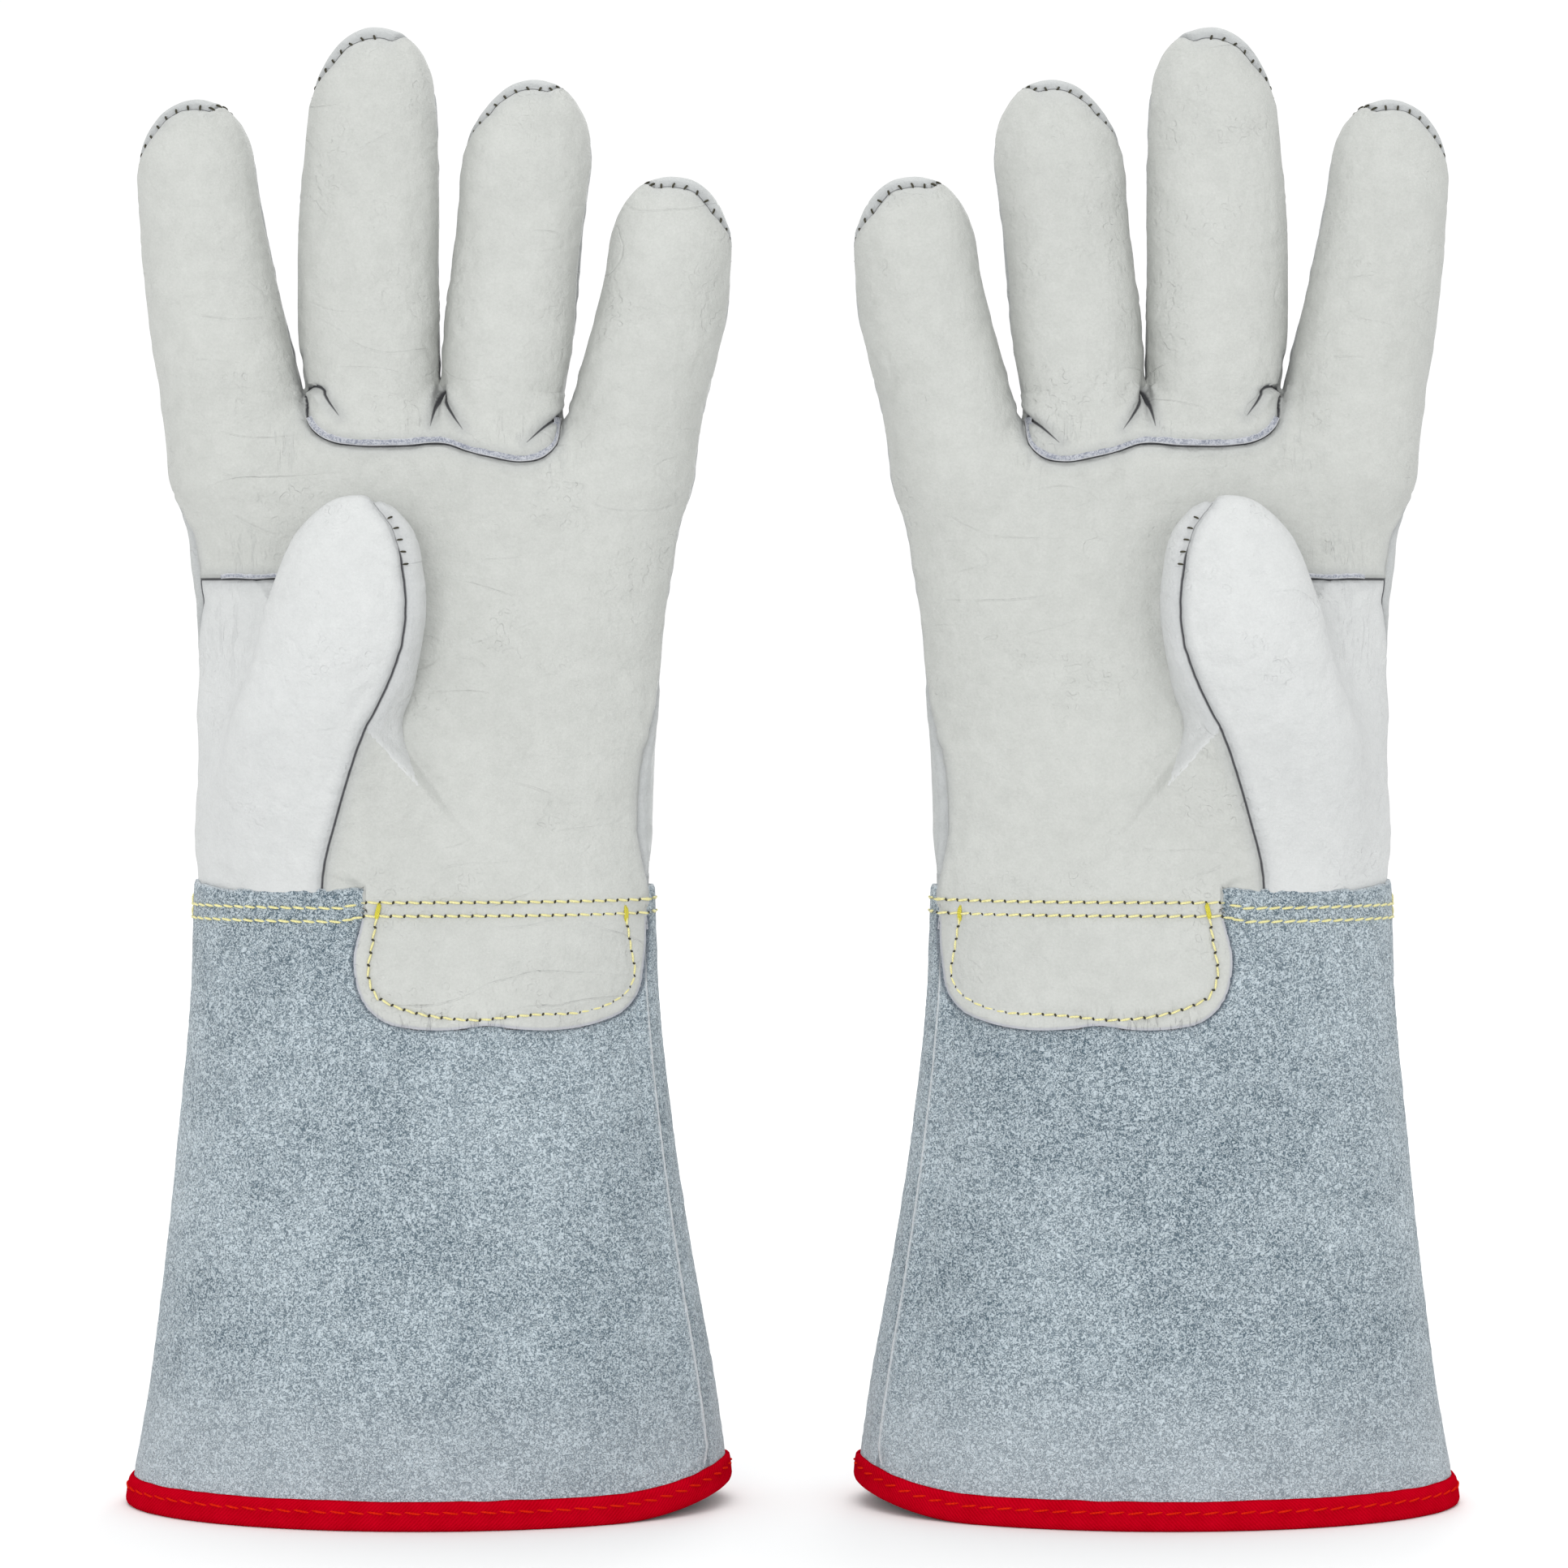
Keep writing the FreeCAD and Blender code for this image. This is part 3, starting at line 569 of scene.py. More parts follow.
def textured(name, dark, light, rough, layers, bumps, sheen=0.0, lines=(), uv=False, gathers=None, gloss=0.3):
    """A material whose colour and relief come from layers of noise.
    layers: (kind, scale, share of the colour range, stretch); bumps: (kind, scale, height in mm, stretch).
    lines: (attribute, (from, to, strength), tint), a tint that fades over a distance from a line.
    gathers: (scale, depth in mm, stretch, tint) of the wrinkles where the attribute "gather" is high; the
    tint darkens their valleys as painted shade."""
    m, nodes, links, shader = material(name, light, rough, sheen, gloss)
    coords = nodes.new("ShaderNodeTexCoord")
    source = coords.outputs["UV" if uv else "Object"]

    def texture(kind, scale, stretch):
        mapping = nodes.new("ShaderNodeMapping")
        mapping.inputs["Scale"].default_value = stretch
        links.new(source, mapping.inputs["Vector"])
        node, settings = TEXTURES[kind]
        t = nodes.new(f"ShaderNodeTex{node}")
        for key, value in {"Scale": scale, **settings}.items():
            t.inputs[key].default_value = value
        if kind == "cells":
            t.feature = "DISTANCE_TO_EDGE"
        if kind == "bands":
            t.bands_direction = "DIAGONAL"
        links.new(mapping.outputs["Vector"], t.inputs["Vector"])
        out = t.outputs["Distance" if kind == "cells" else "Fac"]
        if kind not in PATCHES:
            return out
        if kind == "creases":            # thin valleys
            mark = remap(maths("ABSOLUTE", maths("SUBTRACT", out, 0.5)), 0, 0.02, 1, 0)
        else:                            # small pits
            mark = remap(out, 0.34, 0.46, 1, 0)
        patch = remap(texture("cloud", PATCHES[kind], ONE), 0.5, 0.66, 0, 1)
        return maths("SUBTRACT", 1.0, maths("MULTIPLY", mark, patch))

    def maths(operation, *values):
        n = nodes.new("ShaderNodeMath")
        n.operation = operation
        for k, value in enumerate(values):
            if isinstance(value, (int, float)):
                n.inputs[k].default_value = value
            else:
                links.new(value, n.inputs[k])
        return n.outputs[0]

    def remap(value, lo, hi, to_lo, to_hi):
        n = nodes.new("ShaderNodeMapRange")
        n.interpolation_type = "SMOOTHSTEP"
        for key, x in (("From Min", lo), ("From Max", hi), ("To Min", to_lo), ("To Max", to_hi)):
            n.inputs[key].default_value = x
        links.new(value, n.inputs["Value"])
        return n.outputs["Result"]

    def attribute(name):
        n = nodes.new("ShaderNodeAttribute")
        n.attribute_name = name
        return n.outputs["Fac"]

    def tinted(colour, tint, factor):
        n = nodes.new("ShaderNodeMix")
        n.data_type = "RGBA"
        if isinstance(colour, tuple):
            n.inputs["A"].default_value = (*colour, 1)
        else:
            links.new(colour, n.inputs["A"])
        n.inputs["B"].default_value = (*tint, 1)
        links.new(factor, n.inputs["Factor"])
        return n.outputs["Result"]

    def raised(source, height, normal):
        n = nodes.new("ShaderNodeBump")
        n.inputs["Strength"].default_value = 1
        n.inputs["Distance"].default_value = height * MM
        links.new(source, n.inputs["Height"])
        if normal is not None:
            links.new(normal, n.inputs["Normal"])
        return n.outputs["Normal"]

    share = None
    for kind, scale, weight, stretch in layers:
        lo, hi = SPREAD.get(kind, (0, 1))
        part = maths("MULTIPLY", remap(texture(kind, scale, stretch), lo, hi, 0, 1), weight)
        share = part if share is None else maths("ADD", share, part)
    colour = tinted(dark, light, share)
    for line, (start, end, strength), tint in lines:
        colour = tinted(colour, tint, remap(attribute(line), start, end, strength, 0))
    normal = None
    if gathers:
        scale, depth, stretch, tint = gathers
        valley = remap(texture("fibre", scale, stretch), 0.36, 0.46, 1, 0)
        valley = maths("MULTIPLY", valley, attribute("gather"))
        # Painted shade: the wrinkles' valleys darken towards the tint.
        colour = tinted(colour, tint, maths("MULTIPLY", valley, 0.4))
        normal = raised(maths("SUBTRACT", 1.0, valley), depth, None)
    for kind, scale, height, stretch in bumps:
        normal = raised(texture(kind, scale, stretch), height, normal)
    links.new(colour, shader.inputs["Base Color"])
    links.new(normal, shader.inputs["Normal"])
    return m


ONE = (1, 1, 1)
GRAIN = [("cloud", 34, 0.3, ONE), ("cloud", 210, 0.3, ONE), ("grain", 1500, 0.4, ONE)]
RELIEF = [("cloud", 60, 1.4, (1, 1, 1.5)), ("cloud", 260, 0.45, (1.4, 1, 1)),
          ("creases", 42, 0.16, (0.7, 1, 2.1)), ("pits", 520, 0.16, ONE), ("cells", 1150, 0.07, ONE),
          ("grain", 2600, 0.06, ONE)]
# Gathered wrinkles: scale, depth in mm, stretch, and the dark tint painted as shade in their valleys.
WRINKLES = (620, 0.35, (1, 0.2, 0.16), (0.2, 0.21, 0.22))
# Tints read from the leather's marks: "cut" tints the tab's cut edge; "shade" is painted shade, a soft
# darkening up to 4.5 mm beside seams and folds; "seam" is painted shade too, a near-black line in the crack
# of each seam and fold.
SEAMS = (("cut", (0.3, 1.0, 0.7), (0.34, 0.35, 0.4)), ("shade", (0.3, 4.5, 0.3), (0.24, 0.25, 0.265)),
         ("seam", (0.14, 0.5, 0.93), (0.02, 0.02, 0.025)))


def leather(name, dark, light, rough, gathers=None):
    return textured(name, dark, light, rough, GRAIN, RELIEF, 0.04, SEAMS, gathers=gathers)


hand_leather = leather("hand_leather", (0.392, 0.402, 0.383), (0.468, 0.479, 0.459), 0.62, WRINKLES)
back_hide = leather("back_leather", (0.392, 0.406, 0.402), (0.468, 0.483, 0.479), 0.62)
# The thumb's leather is the hand's leather made lighter: painted light on the thumb and its wing.
thumb_leather = leather("thumb_leather", (0.463, 0.475, 0.473), (0.535, 0.547, 0.545), 0.58, WRINKLES)
NAP = [("fibre", 1450, 0.74, ONE), ("cloud", 24, 0.14, ONE), ("cloud", 110, 0.12, ONE)]
suede = textured("cuff_suede", (0.05, 0.087, 0.115), (0.53, 0.605, 0.65), 0.95, NAP,
                 [("fibre", 1450, 0.6, ONE), ("grain", 2200, 0.25, ONE), ("cloud", 70, 1.2, ONE)], 0.25,
                 (("pale", (0.0, 1.0, 0.3), (0.46, 0.49, 0.52)),
                  ("edge", (0.4, 1.7, 0.85), (0.72, 0.76, 0.79)),
                  # painted shadow of the front panel's edge on the back panel
                  ("lap_shadow", (0.3, 1.3, 0.7), (0.09, 0.11, 0.13)),
                  # painted shadow on the suede beneath the tab's edge
                  ("under", (0.1, 1.1, 0.75), (0.07, 0.09, 0.12))))
raw_edge = textured("split_edge", (0.19, 0.205, 0.25), (0.44, 0.455, 0.49), 0.95,
                    [("fibre", 1100, 0.7, ONE), ("cloud", 300, 0.3, ONE)], [("grain", 1400, 0.4, ONE)], 0.2,
                    (("rim", (0.05, 0.42, 0.75), (0.57, 0.58, 0.6)),))
canvas = textured("cotton_canvas", (0.42, 0.4, 0.35), (0.58, 0.56, 0.5), 0.9,
                  [("checks", 1100, 0.35, ONE), ("cloud", 90, 0.65, ONE)], [("checks", 1100, 0.2, ONE)],
                  0.2, uv=True)
twill = textured("red_twill", (0.31, 0.0, 0.004), (0.46, 0.001, 0.011), 0.8,
                 [("bands", 560, 0.45, ONE), ("cloud", 160, 0.3, ONE), ("grain", 1500, 0.25, ONE)],
                 [("bands", 560, 0.1, ONE), ("grain", 1600, 0.1, ONE)], uv=True, gloss=0.0)
SPUN = ([("bands", 900, 0.6, ONE), ("grain", 900, 0.4, ONE)], [("bands", 900, 0.12, ONE)], 0.2)
yellow = textured("yellow_thread", (0.60, 0.55, 0.23), (0.82, 0.78, 0.40), 0.6, *SPUN)
bright = textured("bartack_thread", (0.45, 0.4, 0.025), (0.62, 0.56, 0.05), 0.6, *SPUN)
red = textured("red_thread", (0.5, 0.006, 0.002), (0.64, 0.022, 0.006), 0.7, *SPUN[:2], gloss=0.0)
# Near-black marks of painted shade, standing for the needle holes on the cuff and at the fingertip and
# thumb-tip seams.
shadow = textured("stitch_hole", (0.025, 0.023, 0.014), (0.07, 0.065, 0.04), 0.9,
                  [("grain", 900, 0.5, ONE)], [("grain", 900, 0.05, ONE)])

# ------------ the hand's leather
height = lambda q: q[:, 2]
in_front = lambda q: q[:, 1] < -2
between = lambda q, lo, hi: (q[:, 2] > lo) & (q[:, 2] < hi)
v, f = net(hand_field, (-184, -46, 126), (-14, 30, 403), STEP)
v = solve(hand_field, v)
v, f = split(v, f, side_seam)
for level in (-0.55, 0.55, -1.3, 1.3):
    v, f = split(v, f, side_seam, level, lambda q: q[:, 2] > 160)
for level in (0, 0.55, -0.55, 1.3, -1.3):
    v, f = split(v, f, wing_edge, level, lambda q: (q[:, 1] < 2) & (q[:, 0] < -95) & between(q, 150, 262))
    v, f = split(v, f, base_edge, level, lambda q: in_front(q) & between(q, 279, 304))
for line in FOLDS:
    for level in (0, 0.6, -0.6):
        v, f = split(v, f, lambda q: beside(line, q), level,
                     lambda q: (q[:, 1] < -4) & (np.abs(beside(line, q)) < 2.2))
for level in (0, 1.0):
    v, f = split(v, f, lambda q: beside(TAB, q), level, lambda q: in_front(q) & (q[:, 2] < 172))
for level in (TAB_TOP, TUCK_FOOT):
    v, f = split(v, f, height, level)
for gap in GAPS:
    v, f = split(v, f, lambda q: q[:, 0] - along(gap, q[:, 2])[0], 0, lambda q: q[:, 2] > 292)
for k, (cut0, _, cut1, _, _) in enumerate(ZONES.values()):
    outer_finger = k in (0, len(ZONES) - 1)
    for level in (cut0, cut1):
        v, f = split(v, f, height, level, lambda q: finger_at(q) == k if outer_finger else q[:, 2] > 290)
v = solve(hand_field, v, 1)


def seam_marks(p, gaps, pucker=1.0):
    """How far seams sink and their leather puffs, with the distances that the material reads."""
    near = np.minimum.reduce([np.abs(g) for g in gaps])
    sink = -0.95 * bell(near, 0.85) + 0.28 * bell(near - 2.4, 1.5)
    folds = np.exp(-near / 4.5) * 0.3 * pucker * noise(p, (3.1, 4, 3.1), 9)
    return sink + folds, near


# Where the leather is gathered: centre, half size and direction of its wrinkles
GATHERED = (((-147, 260), (9, 7), 0.6), ((-152, 237), (6, 13), 0.3), ((-137, 287), (6, 7), 0.8),
            ((-101, 293.5), (5, 3.5), 0.2), ((-75, 292), (8, 4.5), -0.7), ((-64, 283), (5, 5), 0.9),
            ((-112, 222), (4, 10), 1.2))


def wrinkled(p):
    """1 where the leather is most gathered."""
    return sum(bell(p[:, 0] - x, a) * bell(p[:, 2] - z, b) for (x, z), (a, b), _ in GATHERED)


def gathered(p):
    """Short wrinkles beside the seams that gather the leather."""
    total = 0.0
    for (x, z), (a, b), turn in GATHERED:
        dx, dz = p[:, 0] - x, p[:, 2] - z
        c, s = math.cos(turn), math.sin(turn)
        q = np.stack([dx * c - dz * s, p[:, 1] * 0.2, dx * s + dz * c], 1)
        total = total + bell(dx, a) * bell(dz, b) * noise(q, (1.9, 6, 8), 17)
    return 0.42 * total * ramp(2, 6, -p[:, 1])


def relief(p):
    """Broad unevenness and fine creases of soft leather."""
    broad = 0.55 * noise(p, 27, 1) + 0.3 * noise(p, (11, 12, 14), 2)
    lines = np.clip(1 - np.abs(noise(p, (17, 14, 6.5), 7)) * 7, 0, 1) ** 2 * ramp(0.05, 0.6, noise(p, 24, 8))
    return broad - 0.3 * lines + 0.08 * noise(p, 4.2, 11) + gathered(p)


def leather_marks(p, near, gather, cut):
    """What the leather's material reads: distances from seams and cut edges, and how gathered it is."""
    shade = np.minimum(near + 0.25 * np.abs(noise(p, 6, 12)), AWAY)
    return {"seam": near, "shade": shade, "gather": gather, "cut": cut}


out = slope_of(hand_field, v)
x, y, z = v.T
side, wing = side_seam(v), np.where(y < 2, wing_edge(v), 30.0)
base = np.where(in_front(v), base_edge(v), 30.0)
push, _ = seam_marks(v, [side, wing, base])
faint = 0.42 - 0.22 * ramp(300, 330, z)  # the side seams lie shut and hardly show
near = np.minimum(np.abs(side) + faint, np.minimum(np.abs(wing), np.abs(base)))
fold, run = fold_edge(v)
deep = (y < -3) & (z < 304.5)
push += deep * (1.15 - run) * (-1.5 * bell(fold, 0.9) + 0.6 * bell(fold - 2.1, 1.2))
# The folds' creases take the seams' near-black line of painted shade, widest at their deep ends.
near = np.where(deep, np.minimum(near, fold - 0.12 + 0.4 * run ** 2), near)
above = np.where(in_front(v), base, -AWAY)
push += 0.9 * bell(above - 4.2, 3.0) * (z < 302) * (above > 0)
for gap in GAPS:                         # folded gusset leather at the foot of each gap
    foot = gap[1][0]
    from_gap = x - along(gap, z)[0]
    fold = bell(from_gap, 1.1) * ramp(foot - 13, foot - 5, z) * (z < foot + 6)
    push -= 1.0 * fold * ramp(2, 6, -y) * (0 < above)
in_tab = z < TAB_TOP
below = np.clip(1 - (z - 131) / 9, 0, 1) * (1 - 0.7 * ramp(-85, -70, x))     # near the tab's lower edge
push = np.where(in_tab, 0.12 * noise(v, 7, 13) + 0.6 * below * noise(v, (1.7, 9, 9), 14),
                push + relief(v) * ramp(164, 172, z))
rim = np.where(in_tab & in_front(v), np.abs(beside(TAB, v)), AWAY)
push -= 0.45 * bell(rim, 0.7)
push -= 0.3 * bell(beside(TAB_ROW, v), 1.2) * in_tab * in_front(v)
near = np.where(z < 165.5, AWAY, near)
v = warp(v + out * push[:, None])
normal = normals_of(v, f)
x, y, z = v.T
# How gathered the leather is, which deepens its wrinkles and darkens their valleys with painted shade.
gather = 0.3 * np.clip(wrinkled(v) * ramp(2, 6, -y), 0, 1) * (z > 170) + 0.9 * below ** 1.5 * in_tab
marks = leather_marks(v, near, gather, np.where(z < 161, rim, AWAY))

# Sort the faces into panels, by where they lie on the smooth form
flat = solve(hand_field, v, 1)
mid = flat[f].mean(1)
front_face = side_seam(mid) < 0
wing_face = front_face & (wing_edge(mid) > 0)
on_tab = (mid[:, 1] < -3) & (beside(TAB, mid) > 0) & (mid[:, 0] > -119) & (mid[:, 0] < -38)
tucked = (mid[:, 2] > TUCK_FOOT) & (tab_cover(*mid.T) < 0.5)
keep = (mid[:, 2] > TAB_TOP) | on_tab | tucked
finger_face = [(finger_at(mid) == k) & (mid[:, 2] > zone[0]) for k, zone in enumerate(ZONES.values())]
any_finger = np.any(finger_face, 0)


def with_tab_edge(pv, pf, pn, pm, used):
    """The palm's panel with the leather's thickness along the tab's outline."""
    e = np.concatenate([pf[:, [0, 1]], pf[:, [1, 2]], pf[:, [2, 0]]])
    order = np.sort(e, 1)
    _, first, times = np.unique(order[:, 0] * len(pv) + order[:, 1], return_index=True, return_counts=True)
    e = e[first[times == 1]]
    ends = flat[used][e]
    e = e[(ends[:, :, 2].max(1) < 164.5) & (ends[:, :, 1].max(1) < -5)
          & (np.abs(beside(TAB, ends.mean(1))) < 1.2)]
    ids, back = np.unique(e, return_inverse=True)
    low = back.reshape(-1, 2) + len(pv)
    pv = np.concatenate([pv, pv[ids] - pn[ids] * 1.25])
    pn = np.concatenate([pn, pn[ids]])
    pf = np.concatenate([pf, np.stack([e[:, 1], e[:, 0], low[:, 0]], 1),
                         np.stack([e[:, 1], low[:, 0], low[:, 1]], 1)])
    return pv, pf, pn, {key: np.concatenate([values, values[ids]]) for key, values in pm.items()}


HEEL, WRIST = (-100, 0, 168), (-100, 0, 203)
for name, faces, mat, slot, nodes in (
        ("palm_leather", front_face & ~wing_face, hand_leather, "hand_leather",
         ("palm_panel", "palm_tab", "finger_gussets")),
        ("wing_leather", wing_face, thumb_leather, "thumb_leather", ("thumb_wing",)),
        ("back_leather", ~front_face, back_hide, "hand_leather", ("back_panel",))):
    panel = cut_out(v, f, normal, marks, keep & ~any_finger & faces)
    pv, pf, pn, pm = with_tab_edge(*panel) if name == "palm_leather" else panel[:4]
    piece(name, pv, pf, mat, slot, pn, pm)
    bend(name, "cuff", "hand", HEEL, WRIST, *nodes)
for k, (finger, (cut0, end0, cut1, start1, end1)) in enumerate(ZONES.items()):
    for part, faces, bodies, zone in (
            ("lower", mid[:, 2] < cut1, ("hand", f"{finger}_lower"), (cut0, end0)),
            ("upper", mid[:, 2] > cut1, (f"{finger}_lower", f"{finger}_upper"), (start1, end1))):
        for panel, side, hide in (("front", front_face, hand_leather), ("back", ~front_face, back_hide)):
            pv, pf, pn, pm, _ = cut_out(v, f, normal, marks, finger_face[k] & faces & side)
            name = piece(f"{finger}_{panel}_{part}_leather", pv, pf, hide, "hand_leather", pn, pm)
            bend(name, *bodies, (-100, 0, zone[0]), (-100, 0, zone[1]), f"{finger}_{panel}_{part}")

# ------------ the thumb
v, f = net(thumb_field, (-168, -50, 196), (-90, 4, 277), STEP * 0.9)
v = solve(thumb_field, v)
lifted = lambda q: reach(q[:, 0], q[:, 2])
for level in (0, 0.5, -0.5, 1.2, -1.2):
    v, f = split(v, f, thumb_edge, level, lambda q: lifted(q) > 42)
for level in (46, 50):
    v, f = split(v, f, lifted, level)
v = solve(thumb_field, v, 1)
out = slope_of(thumb_field, v)
push, near = seam_marks(v, [thumb_edge(v)], 0.8)
near = near + 0.26 * ramp(256, 261, v[:, 2])
push += relief(v) - 0.7 * (1 - ramp(45.5, 50, lifted(v)))
mid = v[f].mean(1)
v = warp(v + out * push[:, None])
normal = normals_of(v, f)
marks = leather_marks(v, near, 0 * near, 0 * near + AWAY)
wanted = (lifted(mid) > 46) & (np.abs(thumb(*mid.T)) < 6.5) & (mid[:, 1] < -16)
at_reach = lambda far: (0.766 * far, 0, 0.643 * far)
# The thumb's front and its back rim both use the lighter leather of painted light.
for part, faces, slot in (("front", thumb_edge(mid) > 0, "thumb_leather"),
                          ("back", thumb_edge(mid) <= 0, "hand_leather")):
    pv, pf, pn, pm, _ = cut_out(v, f, normal, marks, wanted & faces)
    name = piece(f"thumb_{part}_leather", pv, pf, thumb_leather, slot, pn, pm)
    bend(name, "hand", "thumb", at_reach(50), at_reach(74), f"thumb_{part}")


# ------------ the cuff
def cuff_at(angle, z, proud):
    """Points on the cuff: angle from +X towards the back, level, and distance outside the leather."""
    cx, cy, a, b = along(CUFF, z)
    return np.stack([cx + (a + proud) * np.cos(angle), cy + (b + proud) * np.sin(angle), z + 0 * angle], -1)


def cuff_out(p):
    """The outward direction of the cuff at points."""
    cx, cy, a, b = along(CUFF, p[..., 2])
    return unit(np.stack([(p[..., 0] - cx) / a ** 2, (p[..., 1] - cy) / b ** 2, 0 * cx], -1))


def even_angles(start, end, count):
    """Angles spaced evenly along the cuff's outline, in degrees from start to end."""
    t = np.radians(np.linspace(start, end, 2000))
    run = run_of(np.column_stack([63 * np.cos(t), 28 * np.sin(t)]))
    return np.interp(np.linspace(0, run[-1], count), run, t)


def grid_warp(grid):
    return warp(grid.reshape(-1, 3)).reshape(grid.shape)


def tape_uv(around, up):
    """A mesh's flat places in mm, from those round the cuff and up it, for both faces of a slab."""
    return np.tile(np.stack(np.meshgrid(around, up, indexing="ij"), -1).reshape(-1, 2), (2, 1))


def cuff_panel(name, start, end, proud, node):
    """One suede panel between two angles, with its cut edges."""
    fine = 190
    angle = even_angles(start, end, fine)
    rise = np.linspace(0, 1, 150)
    beside_tab = 1 - ramp(-165, -150, cuff_at(angle, 167.0 + 0 * angle, 0)[:, 0])
    ragged = noise(np.column_stack([angle * 40, angle * 0, angle * 0]), 2.2, 21)
    top = 168.6 + 0.4 * np.sin(angle * 3) + 0.45 * ragged + 1.3 * beside_tab
    z = 0.9 + (top[:, None] - 0.9) * rise
    a = np.broadcast_to(angle[:, None], z.shape)
    column = np.arange(fine)[:, None] + 0 * z
    from_side = np.minimum(column, fine - 1 - column) * (abs(math.radians(end - start)) * 50 / fine)
    from_top = top[:, None] - z
    lift = proud(np.degrees(a)) * ramp(8, 15, z)
    lift = lift - 0.45 * bell(np.minimum(from_side, from_top), 0.8)
    outer = cuff_at(a, z, lift)
    inner = cuff_at(a, z, lift - 1.35)
    rough = 0.12 * noise(outer.reshape(-1, 3), 1.9, 22).reshape(z.shape)
    outer = outer + cuff_out(outer) * rough[..., None]
    pv, pf = slab(grid_warp(outer), grid_warp(inner))
    # Painted shadow: the back panel darkens beside the front panel's edge, which laps over it at OVER.
    lap_shadow = np.abs(np.degrees(a) - (OVER - 360)) * 0.73 + AWAY * (node == "cuff_front")
    # Painted shadow: the suede darkens just outside the tab's outline, beneath its edge.
    by_tab = (outer[..., 1] < -4) & (outer[..., 2] < 161)
    marks = {"under": np.where(by_tab, np.abs(beside(TAB, outer)), AWAY),
             "edge": np.minimum(from_side, from_top + 1.0), "pale": ramp(0, 60, z), "lap_shadow": lap_shadow}
    marks = {key: np.tile(values.ravel(), 2) for key, values in marks.items()}
    piece(name, pv, pf, suede, "cuff_suede", None, marks)
    ride(name, "cuff", node)


OVER = 341.0                             # angle where the front panel ends, over the back one


def front_lift(a):
    """How far the front panel stands out at its two sides, at an angle in degrees."""
    return 1.2 * ramp(OVER - 9, OVER - 3, a) + 0.9 * (1 - ramp(172, 180, a))


def back_lift(a):
    """The same for the back panel, whose sides lie under the front one."""
    return -0.55 * (1 - ramp(OVER - 360, OVER - 352, a)) - 0.6 * ramp(166, 170, a)


cuff_panel("cuff_front_suede", 168, OVER, front_lift, "cuff_front")
cuff_panel("cuff_back_suede", OVER - 360 - 5, 178, back_lift, "cuff_back")

around = 240
angle = even_angles(0, 360, around + 1)[:-1]
z = np.linspace(6.5, 160, 40)
lining = lambda proud: grid_warp(cuff_at(*np.broadcast_arrays(angle[:, None], z), proud))
pv, pf = slab(lining(-1.5), lining(-2.3), True)
piece("cuff_lining_canvas", pv, pf, canvas, "cotton_canvas", uv=tape_uv(np.arange(around) * 1.72, z))
ride("cuff_lining_canvas", "cuff", "cuff_lining")

# Binding tape folded round the hem
profile = curve([(0.2, 7.9), (1.0, 7.3), (1.25, 5.6), (1.2, 3.0), (1.0, 1.1), (0.3, 0.15), (-0.8, 0.0),
                 (-1.9, 0.3), (-2.9, 1.4), (-3.2, 4), (-3.1, 7.2), (-2.4, 7.9)], 26)
count = 420
angle = even_angles(0, 360, count + 1)[:-1]
wave = 0.18 * noise(np.column_stack([np.cos(angle) * 60, np.sin(angle) * 60, 0 * angle]), 5, 31)
a = np.broadcast_to(angle[:, None], (count, len(profile)))
z = np.maximum(profile[:, 1] + (wave[:, None] * ramp(3, 8, profile[:, 1])), 0)
tape = grid_warp(cuff_at(a, z, profile[:, 0] + 0.4 * wave[:, None]))
inner = grid_warp(cuff_at(a, np.clip(z, 0.5, 7.2), profile[:, 0] * 0.55 - 0.5))
pv, pf = slab(tape, inner, True)
piece("hem_binding_twill", pv, pf, twill, "red_twill",
      uv=tape_uv(np.arange(count) * 412.0 / count, run_of(profile)))
ride("hem_binding_twill", "cuff", "cuff_binding")


# ------------ stitching
def row_round(level, proud_of):
    """A line round the cuff at a level."""
    angle = even_angles(0, 360, 900)
    return cuff_at(angle, level + 0 * angle, proud_of(angle, level))


def over_panels(angle, level):
    """How far thread at the wrist lies outside the cuff's form."""
    deg = np.degrees(angle) % 360
    panel = np.where((deg > 168) & (deg < OVER), front_lift(deg), 0)
    return panel + 0.12 + LAP * tab_cover(*cuff_at(angle, level + 0 * angle, 0.0).T)


def cuff_front_y(x, z, wider, deeper):
    """The y of the cuff's front with its form grown to the sides and forward."""
    cx, _, a, b = along(CUFF, z)
    return -(b + deeper) * np.sqrt(np.clip(1 - ((x - cx) / (a + wider)) ** 2, 0, 1))


def row(line, pitch, length, radius, lift):
    """Stitches along a line on the cuff, a little aslant."""
    c, way = spaced(line, pitch)
    out = cuff_out(c)
    return threads(warp(c), way + np.cross(way, out) * 0.14, out, length, radius, lift)


def needle_holes(line, pitch):
    """Dark holes between a row's stitches, where the row crosses the tab, painted as the shade inside the
    needle holes.
    """
    c, way = spaced(line, pitch, 1.0)
    on = tab_cover(*c.T) > 0.5
    c, way = c[on], way[on]
    out = cuff_out(c)
    return threads(warp(c), way * 0.5 + np.cross(out, way), out, 1.0, 0.29, 0.14)


